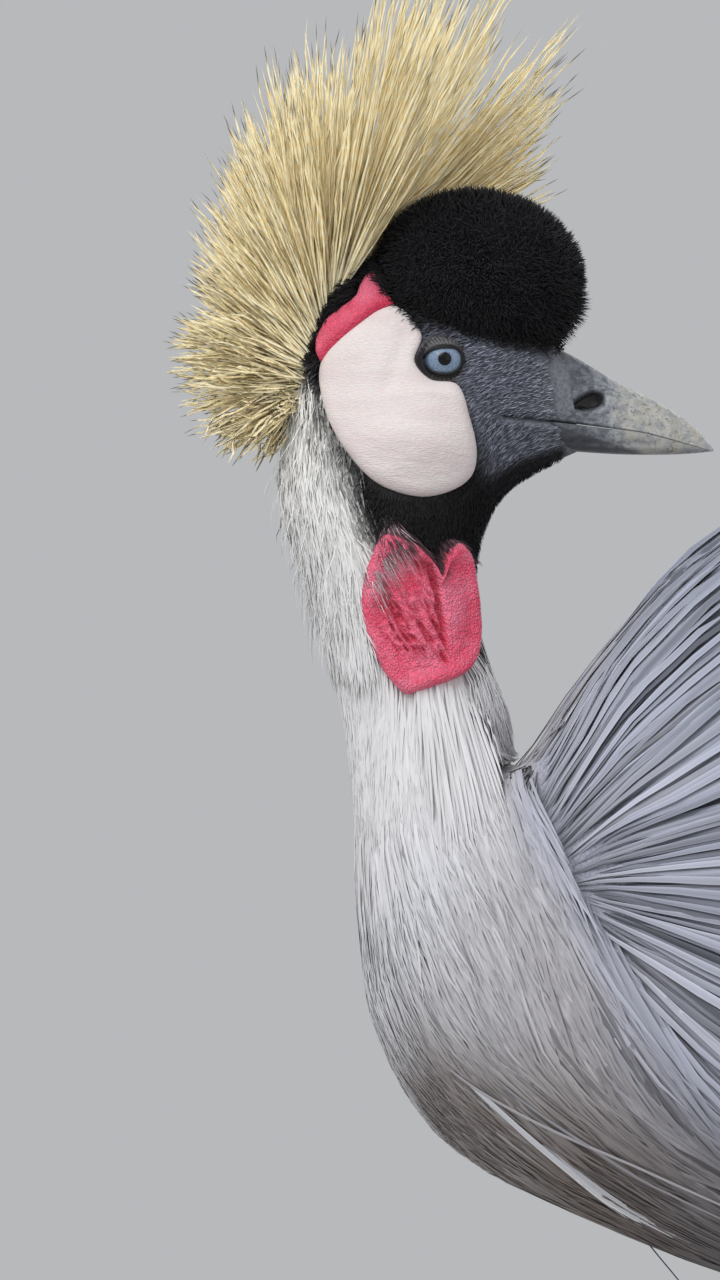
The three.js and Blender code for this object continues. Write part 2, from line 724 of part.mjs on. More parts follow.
function wingShell(side, grow = 0) {
  const rings = spread(0, shellEnd, 9).map((u, i, all) => {
    const p = wingPlace.getPoint(u);
    const size = wingSize.getPoint(u);
    const fade = 1 - 0.7 * THREE.MathUtils.smoothstep(u, 0.6, shellEnd);
    const high = (size.x + grow) * (i === 0 && !grow ? 0.7 : fade);
    const inward = 3 * size.y * fade;
    const shift = (i === 0 ? -1 : i === all.length - 1 ? 1 : 0) * grow;
    return ringOf(12, (angle) => {
      const lift = Math.cos(angle) * high;
      const out = Math.sin(angle) * (Math.sin(angle) > 0 ? size.y + grow : inward);
      return new THREE.Vector3(p.x + shift, side * (p.y - 0.0016 * lift * lift + out), p.z + lift);
    });
  });
  return solid(loft(rings));
}
const wingSpaces = [-1, 1].map((side) => wingShell(side, 5));

// The tiers of a wing. Each feather starts at a place on the wing and runs a share of its
// length, dropping by so much of its height.
const wingTiers = [
  { name: 'primary', count: 3, from: [0.56, -0.35], to: [0.6, -0.8], run: 0.4, drop: 0, wide: 7.5 },
  { name: 'secondary', count: 5, from: [0.52, -0.3], to: [0.58, 0.66], run: 0.38, drop: 0.1, wide: 12 },
  { name: 'plume', count: 5, from: [0.35, -0.45], to: [0.42, 0.66], run: 0.24, drop: 0.3, wide: 7.5 },
  { name: 'greater', count: 4, from: [0.22, -0.58], to: [0.27, 0.66], run: 0.17, drop: 0.1, wide: 13 },
  { name: 'lesser', count: 4, from: [0.07, -0.54], to: [0.11, 0.64], run: 0.17, drop: 0.08, wide: 13 },
];

function wingFeather(side, tier, share) {
  const along = THREE.MathUtils.lerp(tier.from[0], tier.to[0], share);
  const across = THREE.MathUtils.lerp(tier.from[1], tier.to[1], share);
  const raises = [-1.6, 0.9, 1.9, 3.4];
  const widths = [0.6, 1, 0.85, 0];
  const path = raises.map((raise, i) => {
    const u = along + (tier.run * i) / 3;
    const v = across - (tier.drop * i * i) / 9;
    const out = new THREE.Vector3(0, side, 0.35 * v);
    return { at: wingPoint(side, u, v, raise), out, wide: tier.wide * widths[i] };
  });
  return vane(path, 1.3);
}

function wing(side) {
  const feathers = wingTiers.flatMap((tier) =>
    spread(0, 1, tier.count - 1).map((share) => wingFeather(side, tier, share)),
  );
  return joined([wingShell(side), ...feathers]).subtract(trunk(touchGap));
}

// Tail: twelve long feathers in a shallow fan from the rump, the middle pair on top.
const tailRoot = new THREE.Vector3(226, 0, 492);
const tailLength = 178;
const tailFall = THREE.MathUtils.degToRad(31);

function tailFeather(number) {
  const side = number % 2 ? 1 : -1;
  const rank = Math.floor(number / 2);
  const fan = THREE.MathUtils.degToRad(2 + rank * 2.1) * side;
  const heading = new THREE.Vector3(Math.cos(tailFall), Math.sin(fan), -Math.sin(tailFall));
  const out = new THREE.Vector3(Math.sin(tailFall), 0.1 * side, Math.cos(tailFall));
  const root = tailRoot.clone().add(new THREE.Vector3(0, side * (2 + rank * 1.6), -rank * 1.5));
  const length = tailLength - 5 * rank;
  const widths = [5, 10, 10, 0];
  const path = [0, 0.4, 0.92, 1].map((share, i) => {
    const at = root.clone().addScaledVector(heading, share * length);
    at.z -= 10 * share * share;
    return { at, out, wide: widths[i] };
  });
  return vane(path, 1.4);
}

function tail() {
  const stump = limb(
    [
      { at: tailRoot.clone().add(new THREE.Vector3(-4, 0, -2)), thick: 17, deep: 10 },
      { at: tailRoot.clone().add(new THREE.Vector3(34, 0, -23)), thick: 18, deep: 7 },
      { at: tailRoot.clone().add(new THREE.Vector3(66, 0, -44)), thick: 14, deep: 2 },
    ],
    12,
    2,
  );
  const feathers = Array.from({ length: 12 }, (_, number) => tailFeather(number));
  return joined([stump, ...feathers]).subtract(trunk(touchGap));
}

// Legs.
const onSide = (spot, side) => new THREE.Vector3(spot.x, side * spot.y, spot.z);

// A limb of round section along a path of points, each with its own thickness and depth.
function limb(points, around, perSpan = 3) {
  const path = smoothThrough(points.map((p) => p.at));
  const girth = smoothThrough(points.map((p) => new THREE.Vector3(p.thick, p.deep, 0)));
  const rings = spread(0, 1, perSpan * (points.length - 1)).map((u) => {
    const centre = path.getPoint(u);
    const along = path.getTangent(u);
    const across = new THREE.Vector3(0, 1, 0).addScaledVector(along, -along.y).normalize();
    const fore = across.clone().cross(along);
    const g = girth.getPoint(u);
    return ringOf(around, (angle) =>
      centre
        .clone()
        .addScaledVector(across, Math.sin(angle) * g.x)
        .addScaledVector(fore, Math.cos(angle) * g.y),
    );
  });
  return solid(loft(rings));
}

const alongShin = (side, share) => onSide(kneeSpot, side).lerp(onSide(ankleSpot, side), share);
const bareFrom = 0.6; // share of the shin where its feathers end

const thighForm = (side, grow = 0) =>
  limb(
    [
      { at: alongShin(side, 0.02), thick: 30 + grow, deep: 44 + grow },
      { at: alongShin(side, 0.2), thick: 34 + grow, deep: 46 + grow },
      { at: alongShin(side, 0.36), thick: 26 + grow, deep: 35 + grow },
      { at: alongShin(side, 0.48), thick: 17 + grow, deep: 22 + grow },
      { at: alongShin(side, bareFrom), thick: 9.5 + grow, deep: 11 + grow },
    ],
    12,
    1,
  );
const thighSpace = (side) => thighForm(side, 1);
const thigh = (side) => thighForm(side).subtract(trunk(touchGap));

function shin(side) {
  const form = limb(
    [
      { at: alongShin(side, bareFrom + 0.0012), thick: 6.8, deep: 7.4 },
      { at: alongShin(side, 0.8), thick: 6.2, deep: 7 },
      { at: alongShin(side, 0.93), thick: 8.4, deep: 9.6 },
      { at: alongShin(side, 1), thick: 9.6, deep: 11.2 },
      { at: alongShin(side, 1.04), thick: 8.8, deep: 10 },
    ],
    10,
    2,
  );
  return form.trimByPlane([0, 0, 1], ankleSpot.z + touchGap / 2);
}

function tarsus(side) {
  const ankle = onSide(ankleSpot, side);
  const foot = onSide(toeRootSpot, side);
  const at = (share) => ankle.clone().lerp(foot, share);
  const form = limb(
    [
      { at: at(-0.04), thick: 9.4, deep: 11 },
      { at: at(0.02), thick: 9.4, deep: 10.8 },
      { at: at(0.1), thick: 7.4, deep: 9 },
      { at: at(0.3), thick: 5.4, deep: 7.2 },
      { at: at(0.7), thick: 5.2, deep: 6.8 },
      { at: at(0.92), thick: 7.4, deep: 7.4 },
      { at: at(0.985), thick: 8.6, deep: 8.2 },
    ],
    10,
    1,
  );
  return form.trimByPlane([0, 0, -1], -ankleSpot.z + touchGap / 2);
}

const toes = [
  { turn: 4, length: 92, thick: 5.2 },
  { turn: -30, length: 66, thick: 4.8 },
  { turn: 36, length: 76, thick: 4.8 },
  { turn: 194, length: 36, thick: 4.2 },
];
const clawLength = 14;

// A toe: knuckled, flat underneath, and ended by a claw.
function toe(side, { turn, length, thick }) {
  const heading = THREE.MathUtils.degToRad(turn) * side;
  const out = new THREE.Vector3(-Math.cos(heading), Math.sin(heading), 0);
  const root = onSide(toeRootSpot, side).setZ(0);
  const at = (reach, z) => root.clone().addScaledVector(out, reach).setZ(z);
  const rings = [
    { at: at(0, 6.5), thick: thick + 1, deep: thick + 1 },
    { at: at(length * 0.34, thick - 0.7), thick: thick * 1.02, deep: thick },
    { at: at(length * 0.52, thick * 0.9 - 0.7), thick: thick * 0.76, deep: thick * 0.9 },
    { at: at(length * 0.7, thick * 0.85 - 0.7), thick: thick * 0.9, deep: thick * 0.85 },
    { at: at(length, thick * 0.62 - 0.5), thick: thick * 0.55, deep: thick * 0.62 },
    { at: at(length + clawLength * 0.5, 2.2), thick: 1.7, deep: 1.9 },
    { at: at(length + clawLength, 0.7), thick: 0.35, deep: 0.4 },
  ];
  return limb(rings, 6, 1);
}

function foot(side) {
  const root = onSide(toeRootSpot, side);
  const pad = ellipsoid({ ...root, z: 5 }, new THREE.Vector3(11, 9.5, 9.4), 0, 10, 6);
  const whole = joined([pad, ...toes.map((t) => toe(side, t))]);
  const floorCut = solid(new THREE.BoxGeometry(400, 400, 40).translate(root.x, root.y, -20));
  return whole.subtract(joined([floorCut, tarsusGuard(side)]));
}

// The space that the end of the tarsus takes, with the gap round it.
function tarsusGuard(side) {
  const ankle = onSide(ankleSpot, side);
  const foot = onSide(toeRootSpot, side);
  return limb(
    [
      { at: ankle.clone().lerp(foot, 0.8), thick: 8, deep: 8 },
      { at: ankle.clone().lerp(foot, 0.92), thick: 7.9, deep: 7.9 },
      { at: ankle.clone().lerp(foot, 0.9867), thick: 9, deep: 8.6 },
    ],
    10,
    1,
  );
}

// The bird, put together.
const bird = new THREE.Group();
const add = (name, made, color, roughness) => bird.add(meshOf(name, made, color, roughness));

const [upperBill, lowerBill] = billHalves();
add('bill_upper', upperBill, 0x5c6068, 0.5);
add('bill_lower', lowerBill, 0x3e4148, 0.5);
const faceGuard = joined([headForm(touchGap), cushionForm(touchGap)]);
const roseSpace = outlineAround(roseOutline, touchGap);
const roseGuards = [-1, 1].map((side) => sidePrism(roseSpace, 2, 60, side));
const roseParts = [-1, 1].map((side) => rosePatch(side).subtract(cushionForm(touchGap)));
const cheekParts = [-1, 1].map((side, k) =>
  cheek(side).subtract(joined([cushionForm(touchGap), roseGuards[k], eyeGuard(side)])),
);
add('head', head(), black, 0.9);
add('crown_cushion', cushionForm().subtract(headForm(touchGap)), black, 1);
['right', 'left'].forEach((name, k) => {
  const side = k ? 1 : -1;
  add('eye_' + name, eyeBall(side), 0x7d96b4, 0.1);
  add('cheek_' + name, cheekParts[k], 0xf0e8e8, 0.6);
  add('rose_patch_' + name, roseParts[k], 0xe2506e, 0.6);
});
function eyeGuard(side) {
  const r = eyeRadius + lidThickness + touchGap;
  return ellipsoid(eyeAt(side), new THREE.Vector3(r, r, r * 0.94), 0, 12, 6);
}
const raisedRose = [-1, 1].map((side) => facePlate(roseSpace, 2.1, side));
add('crest', crest().subtract(joined([faceGuard, ...raisedRose])), 0xd8bd78, 0.8);
add('neck_upper', neckPart(upperNeck, napeRows, neckLock), 0xe4e3e2, 0.9);
add('neck_lower', neckPart(lowerNeck, lowNeckRows, neckHackle), paleGrey, 0.9);
const throatGuard = joined([headForm(touchGap), upperNeck(touchGap), lowerNeck(touchGap)]);
add('wattle', wattleForm().subtract(throatGuard), 0xd0304c, 0.6);
add('torso', torso(), slate, 0.9);
add('mantle', mantle(), slate, 0.9);
['left', 'right'].forEach((name, k) => {
  const side = k ? 1 : -1;
  add('wing_' + name, wing(side), 0xe8e4da, 0.9);
  add('thigh_' + name, thigh(side), slate, 0.9);
  add('shin_' + name, shin(side), 0x26262a, 0.7);
  add('tarsus_' + name, tarsus(side), 0x26262a, 0.7);
  add('foot_' + name, foot(side), 0x26262a, 0.7);
});
add('tail', tail(), 0x2a2a2e, 0.9);

// The origin is on the floor, under the middle of the whole bird.
const box = new THREE.Box3().setFromObject(bird);
const middle = box.getCenter(new THREE.Vector3());
bird.position.set(-middle.x, -middle.y, 0);

export default bird;
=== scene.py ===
# Grey crowned crane, life size, standing still and looking back over its own body.
# The forms are worked out in millimetres on the bird's own axes and moved into the frame
# when a mesh is made. The head's right side, the left wing and the left leg lie on -Y.
import math
import bpy
import numpy as np
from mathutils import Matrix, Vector


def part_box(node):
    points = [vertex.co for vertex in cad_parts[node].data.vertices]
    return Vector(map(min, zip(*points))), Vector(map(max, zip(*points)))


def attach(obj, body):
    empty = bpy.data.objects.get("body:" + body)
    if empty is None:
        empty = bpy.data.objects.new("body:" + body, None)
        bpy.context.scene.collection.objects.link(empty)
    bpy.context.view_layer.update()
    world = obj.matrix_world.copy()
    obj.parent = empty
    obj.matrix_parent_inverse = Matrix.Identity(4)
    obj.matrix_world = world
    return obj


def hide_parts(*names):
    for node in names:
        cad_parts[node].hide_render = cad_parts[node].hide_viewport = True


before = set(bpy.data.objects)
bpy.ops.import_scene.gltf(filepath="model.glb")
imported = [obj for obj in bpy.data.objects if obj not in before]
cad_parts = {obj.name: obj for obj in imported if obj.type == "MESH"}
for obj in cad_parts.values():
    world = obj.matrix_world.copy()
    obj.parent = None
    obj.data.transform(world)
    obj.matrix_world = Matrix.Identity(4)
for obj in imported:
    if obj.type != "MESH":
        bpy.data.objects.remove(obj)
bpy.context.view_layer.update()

# Places shared by more than one piece
bird = {
    "eye": (-152.0, 12.4, 730.4),
    "eyeRadius": 8.2,
    "cushion": (-139.6, 0.0, 760.2),
    "cushionSize": (37.2, 27.0, 30.4),
    "cushionTurn": 0.16,
}
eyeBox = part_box("eye_right")
shiftX = 500 * (eyeBox[0].x + eyeBox[1].x) - bird["eye"][0]

# Stations along the animal, from the base of the bill, over the head and down the neck, round
# the breast and back to the tail: front x, z, rear x, z, half width, egg
stations = np.array([
    (-110, 733, -105, 698.5, 10, 0),
    (-129, 748, -118, 692.5, 14.5, -0.05),
    (-158, 760, -130, 685, 19.5, -0.12),
    (-186, 755.5, -137, 676, 22.5, -0.12),
    (-199.5, 731, -140.5, 666, 24, -0.06),
    (-204.5, 706, -142, 655, 24.5, 0),
    (-208.5, 684, -142, 643, 25.5, 0),
    (-200, 656, -138.5, 628, 26.5, 0),
    (-189, 617, -131, 608, 27.5, 0),
    (-183.5, 580, -127.5, 594.5, 31, 0),
    (-181.5, 540, -121.5, 603, 40, 0.03),
    (-175, 498, -109, 622, 55, 0.06),
    (-151, 460, -93, 641, 70, 0.1),
    (-109, 438, -70, 665, 85, 0.14),
    (-57, 417, -36, 683, 96, 0.16),
    (0, 400, 5, 690, 102, 0.16),
    (60, 391, 60, 684, 102, 0.14),
    (120, 394, 120, 657, 94, 0.12),
    (175, 410, 175, 618, 78, 0.08),
    (220, 433, 222, 573, 53, 0.04),
    (248, 455, 255, 530, 27, 0),
], float)
lastStation = len(stations) - 1


# Small numeric helpers

def smooth(x, low, high):
    # From 0 at low to 1 at high, level at both ends: 3 t squared less 2 t cubed
    t = np.clip((x - low) / (high - low), 0, 1)
    return t * t * (3 - 2 * t)


def unit(v):
    # The same way with a length of 1
    return v / np.maximum(np.linalg.norm(v, axis=-1, keepdims=True), 1e-9)


def mix(a, b, t):
    # a where t is 0 and b where it is 1
    return a + (b - a) * t


def fromFront(angle):
    # Degrees away from the front line, the same to both sides
    return np.degrees(np.abs((angle + math.pi) % (2 * math.pi) - math.pi))


def roundTurn(count):
    # Angles spread evenly round a circle
    return np.linspace(0, 2 * math.pi, count, endpoint=False)


def evenPlaces(count):
    # Two shares from 0 to 1 for each place, which fill a square evenly at any count
    k = np.arange(count)
    return (0.5 + k * 0.7548776662) % 1, (0.5 + k * 0.5698402910) % 1


def ballWay(polar, turn):
    # Way out from a ball's middle by the angle from its pole and the turn round it
    return np.stack([np.sin(polar) * np.cos(turn), np.sin(polar) * np.sin(turn), np.cos(polar)], -1)


def onSheet(x, z):
    # Points of a level sheet, for noise that doesn't change from side to side
    return np.stack([x, z, 0 * x], -1)


def valueAt(value, s, a):
    # A length, width or lift is given as a number, as the two ends of a smooth step with its
    # first and last station, or as a function of station and angle
    if callable(value):
        return value(s, a)
    if np.ndim(value):
        return mix(value[0], value[1], smooth(s, value[2], value[3]))
    return value + 0 * s


def curveAt(points, t, closed=False, even=True):
    # Hermite spans through the points; each tangent is half the chord of the neighbours, or
    # with even off it allows for unequal spans. t runs from 0 to 1 over the whole curve
    points = np.asarray(points, float)
    spans = len(points) if closed else len(points) - 1
    if closed:
        around = points[np.arange(-1, spans + 2) % spans]
    else:
        around = np.vstack([2 * points[0] - points[1], points, 2 * points[-1] - points[-2]])
    u = (np.asarray(t, float) % 1.0 if closed else np.clip(t, 0, 1)) * spans
    i = np.minimum(u.astype(int), spans - 1)
    w = (u - i)[..., None]
    a, b, c, d = around[i], around[i + 1], around[i + 2], around[i + 3]
    if even:
        start, end = (c - a) / 2, (d - b) / 2
    else:
        ab, bc, cd = (np.sqrt(np.linalg.norm(q - p, axis=-1, keepdims=True)) + 1e-6
                      for p, q in ((a, b), (b, c), (c, d)))
        start = bc * ((b - a) / ab - (c - a) / (ab + bc) + (c - b) / bc)
        end = bc * ((c - b) / bc - (d - b) / (bc + cd) + (d - c) / cd)
    w2, w3 = w * w, w * w * w
    return ((2 * w3 - 3 * w2 + 1) * b + (w3 - 2 * w2 + w) * start
            + (3 * w2 - 2 * w3) * c + (w3 - w2) * end)


def spotNoise(points, size, seed=0):
    # Smooth value noise from -1 to 1: hashed corner values of a lattice, blended by smoothstep
    p = np.asarray(points, float) / size
    base = np.floor(p).astype(np.int64)
    f = p - base
    f = f * f * (3 - 2 * f)
    total = 0
    for dx in (0, 1):
        for dy in (0, 1):
            for dz in (0, 1):
                key = ((base[..., 0] + dx) * 73856093 ^ (base[..., 1] + dy) * 19349663
                       ^ (base[..., 2] + dz) * 83492791 ^ (seed * 2654435))
                value = ((key * 1103515245 + 12345) & 0x7FFFFFFF) / 0x3FFFFFFF - 1
                weight = (np.abs(1 - dx - f[..., 0]) * np.abs(1 - dy - f[..., 1])
                          * np.abs(1 - dz - f[..., 2]))
                total = total + weight * value
    return total


def insideLoop(x, z, loop):
    # Crossing count of a line from each point with the closed outline
    inside = np.zeros(x.shape, bool)
    for (x0, z0), (x1, z1) in zip(loop, np.roll(loop, -1, axis=0)):
        crosses = (z0 > z) != (z1 > z)
        reach = x0 + (z - z0) * (x1 - x0) / (z1 - z0 if z1 != z0 else 1e-9)
        inside ^= crosses & (x < reach)
    return inside


# The bird's surface

def sectionAt(station):
    # Middle, way to the front, half depth, half width and egg of the ring at a station. Past the
    # ends the ring moves straight on, 12 mm for each station
    beyond = np.minimum(station, 0) + np.maximum(station - lastStation, 0)
    s = curveAt(stations, station / lastStation)
    front, rear = s[..., 0:2], s[..., 2:4]
    half = np.linalg.norm(front - rear, axis=-1)[..., None] / 2
    toFront = (front - rear) / (2 * half)
    forward = np.stack([-toFront[..., 1], toFront[..., 0]], -1)
    centre = (front + rear) / 2 + forward * beyond[..., None] * 12
    return centre, toFront, half, s[..., 4], s[..., 5]


def barePoint(station, angle):
    # A ring between the two outlines: angle 0 on the front line, half a turn on the rear line.
    # Cosine goes from rear to front and sine to the side, where egg widens the front half
    centre, toFront, half, wide, egg = sectionAt(np.asarray(station, float))
    place = centre + np.cos(angle)[..., None] * half * toFront
    y = -np.sin(angle) * wide * (1 + egg * np.cos(angle))
    return np.stack([place[..., 0], y, place[..., 1]], -1)


def tangents(station, angle):
    # Ways along the body and round it, from differences over a small step
    along = (barePoint(station + 0.05, angle) - barePoint(station - 0.05, angle)) / 0.1
    around = (barePoint(station, angle + 0.02) - barePoint(station, angle - 0.02)) / 0.04
    return along, around


def surfaceAt(station, angle, raised=0.0):
    # The bare point moved out square to the surface, and the way out there
    along, around = tangents(station, angle)
    out = unit(np.cross(along, around))
    return barePoint(station, angle) + out * np.asarray(raised)[..., None], out


def findOnSide(x, z, high=7.5):
    # Station and angle of a place seen from the side: nearest sample, then Newton steps
    s, a = np.meshgrid(np.linspace(-0.3, high, 80), np.radians(np.linspace(4, 176, 44)), indexing="ij")
    grid = barePoint(s, a).reshape(-1, 3)
    shape = np.shape(x)
    x, z = np.ravel(x).astype(float), np.ravel(z).astype(float)
    nearest = np.concatenate([
        ((xs[:, None] - grid[:, 0]) ** 2 + (zs[:, None] - grid[:, 2]) ** 2).argmin(1)
        for xs, zs in zip(np.array_split(x, len(x) // 2000 + 1), np.array_split(z, len(x) // 2000 + 1))])
    station, angle = s.ravel()[nearest], a.ravel()[nearest]
    for _ in range(8):
        here = barePoint(station, angle)
        along, around = tangents(station, angle)
        errX, errZ = x - here[:, 0], z - here[:, 2]
        det = along[:, 0] * around[:, 2] - around[:, 0] * along[:, 2]
        det = np.where(np.abs(det) < 1e-3, 1e-3, det)
        station = station + np.clip((errX * around[:, 2] - errZ * around[:, 0]) / det, -0.4, 0.4)
        angle = angle + np.clip((errZ * along[:, 0] - errX * along[:, 2]) / det, -0.3, 0.3)
        angle = np.clip(angle, 0.03, math.pi - 0.03)
        station = np.clip(station, -0.5, high)
    return station.reshape(shape), angle.reshape(shape)


# Mesh making

def gridFaces(rows, columns, closedRows=False):
    # Quads of a grid whose columns close round
    i = np.arange(rows if closedRows else rows - 1)[:, None]
    j = np.arange(columns)[None, :]
    k = (j + 1) % columns
    below = (i + 1) % rows
    quads = np.stack([i * columns + j, i * columns + k, below * columns + k, below * columns + j], -1)
    return quads.reshape(-1, 4)


def closedLoft(rings):
    # Rings of equal count joined in order, each end closed on its middle point
    rows, columns = rings.shape[:2]
    points = np.vstack([rings.reshape(-1, 3), rings[0].mean(0), rings[-1].mean(0)])
    quads = gridFaces(rows, columns)
    j = np.arange(columns)
    k = (j + 1) % columns
    last = (rows - 1) * columns
    first = np.stack([k, j, np.full(columns, rows * columns)], -1)
    final = np.stack([last + j, last + k, np.full(columns, rows * columns + 1)], -1)
    return points, quads, np.vstack([first, final])


def joinMeshes(parts):
    # Points, quads and triangles of several meshes as one
    starts = np.cumsum([0] + [len(p[0]) for p in parts[:-1]])
    return (np.vstack([p[0] for p in parts]), np.vstack([p[1] + k for p, k in zip(parts, starts)]),
            np.vstack([p[2] + k for p, k in zip(parts, starts)]))


def signedVolume(points, faces):
    # Six times the volume that the faces shut in, below zero where they face inwards
    a, b, c = points[faces[:, 0]], points[faces[:, 1]], points[faces[:, 2]]
    volume = np.einsum("ij,ij->", a, np.cross(b, c))
    if faces.shape[1] == 4:
        volume += np.einsum("ij,ij->", a, np.cross(c, points[faces[:, 3]]))
    return volume


def addPiece(name, points, quads=None, tris=None, slot=None, nodes=(), material=None,
             colours=None, tone=None, uvMaps=None, normals=None):
    # A mesh object at the origin: faces are turned outward by the volume they shut in, and the
    # points moved into the frame in metres. Colours and tone are told by vertex
    quads = np.zeros((0, 4), int) if quads is None else quads
    tris = np.zeros((0, 3), int) if tris is None else tris
    centred = points - points.mean(0)
    if signedVolume(centred, quads) + signedVolume(centred, tris) < 0:
        quads, tris = quads[:, ::-1], tris[:, ::-1]
    mesh = bpy.data.meshes.new(name)
    placed = (points + np.array([shiftX, 0, 0])) * 0.001
    corners = np.concatenate([quads.ravel(), tris.ravel()]).astype(np.int32)
    starts = np.concatenate([np.arange(len(quads)) * 4, len(quads) * 4 + np.arange(len(tris)) * 3])
    mesh.vertices.add(len(placed))
    mesh.vertices.foreach_set("co", placed.ravel())
    mesh.loops.add(len(corners))
    mesh.loops.foreach_set("vertex_index", corners)
    mesh.polygons.add(len(starts))
    mesh.polygons.foreach_set("loop_start", starts.astype(np.int32))
    mesh.update(calc_edges=True)
    mesh.shade_smooth()
    if normals is not None:
        mesh.normals_split_custom_set_from_vertices(normals)
    if colours is not None:
        layer = mesh.attributes.new("plumage", "FLOAT_COLOR", "POINT")
        layer.data.foreach_set("color", np.hstack([colours, np.ones((len(colours), 1))]).ravel())
    if tone is not None:
        mesh.attributes.new("tone", "FLOAT", "POINT").data.foreach_set("value", tone.ravel())
    for mapName, uv in (uvMaps or {}).items():
        mesh.uv_layers.new(name=mapName).data.foreach_set("uv", uv[corners].ravel())
    piece = bpy.data.objects.new(name, mesh)
    bpy.context.scene.collection.objects.link(piece)
    if material is not None:
        mesh.materials.append(material)
    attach(piece, "root")
    if nodes:
        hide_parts(*nodes)
    print("piece", name, len(quads) * 2 + len(tris), "triangles")


def vanes(shaft, out, halfWidth, thick, soft=0.0, lit=None):
    # Closed three-sided vanes: at every row a left edge, a ridge and a right edge, and one
    # point at the tip. shaft is feathers x rows x 3, the last row being the tips. The normals
    # spread to the sides of the upper face, or with lit all around, more toward the bird's two
    # sides, and soft turns them toward out or lit
    count, rows = shaft.shape[:2]
    along = np.gradient(shaft, axis=1)
    across = unit(np.cross(along, out))
    up = unit(np.cross(across, along))
    wide = halfWidth[..., None]
    deep = np.broadcast_to(np.asarray(thick, float), (count, rows))[..., None]
    ring = np.stack([shaft - across * wide - up * deep * 0.4, shaft + up * deep * 0.6,
                     shaft + across * wide - up * deep * 0.4], 2)[:, :-1]
    points = np.concatenate([ring.reshape(count, -1, 3), shaft[:, -1:]], 1)
    if lit is None:
        facing = np.stack([up - across * 0.6, up, up + across * 0.6], 2)[:, :-1]
        lit = out
    else:
        facing = np.stack([-across * 0.9 - up * 0.45, up, across * 0.9 - up * 0.45], 2)[:, :-1]
        facing = facing * [0.45, 1, 0.45]
    facing = unit(np.concatenate([facing.reshape(count, -1, 3), up[:, -1:]], 1))
    below = np.concatenate([np.repeat(lit[:, :-1], 3, axis=1), lit[:, -1:]], 1)
    normals = unit(mix(facing, below, soft)).reshape(-1, 3)
    perFeather = points.shape[1]
    i = np.arange(rows - 2)[:, None] * 3
    k = np.arange(3)[None, :]
    n = (k + 1) % 3
    quads = np.stack([i + k, i + n, i + 3 + n, i + 3 + k], -1).reshape(-1, 4)
    top = (rows - 2) * 3
    tip = np.full(3, perFeather - 1)
    tris = np.vstack([np.stack([top + k[0], top + n[0], tip], -1), [[2, 1, 0]]])
    offset = (np.arange(count) * perFeather)[:, None, None]
    u = np.concatenate([np.tile([0.0, 0.5, 1.0], rows - 1), [0.5]])
    v = np.concatenate([np.repeat(np.arange(rows - 1), 3), [rows - 1]]) / (rows - 1)
    pattern = np.tile(np.stack([u, v], -1), (count, 1))
    return (points.reshape(-1, 3), (quads + offset).reshape(-1, 4), (tris + offset).reshape(-1, 3), pattern,
            normals)


def vanePiece(name, shaft, out, halfWidth, thick, roots, colours, material, slot, nodes=(), tipColours=None,
              seed=0, soft=None, lit=None):
    # roots are each feather's place on the unwrap of what carries it, from 0 to 1
    points, quads, tris, pattern, normals = vanes(shaft, out, halfWidth, thick, soft or 0.0, lit)
    count = len(shaft)
    per = len(points) // count
    tone = np.repeat(np.random.default_rng(seed).random(count), per)
    shade = np.repeat(colours, per, axis=0)
    if tipColours is not None:
        shade = mix(shade, np.repeat(tipColours, per, axis=0), pattern[:, 1:])
    bake = np.repeat(0.01 + 0.98 * roots, per, axis=0) + 0.003 * (pattern - 0.5)
    addPiece(name, points, quads, tris, slot, nodes, material, shade, tone, {"vane": pattern, "OFBake": bake},
             None if soft is None else normals)


def scatter(count, stationRange, angleRange, seed, keep=None):
    # Roots spread evenly over the surface: many evenly spaced candidates in station and angle,
    # kept in proportion to the area that each stands for
    rng = np.random.default_rng(seed)
    total = count * 6
    forStation, forAngle = evenPlaces(total)
    s, a = mix(*stationRange, forStation), np.radians(mix(*angleRange, forAngle))
    along, around = tangents(s, a)
    area = np.linalg.norm(np.cross(along, around), axis=-1)
    if keep is not None:
        area = area * keep(s, a)
    level = np.sort(area)[::-1][:max(20, total // 50)].mean()
    picked = np.flatnonzero(rng.random(total) < np.minimum(area / level, 1))
    if len(picked) > count:
        picked = np.sort(rng.permutation(picked)[:count])
    return s[picked], a[picked], rng


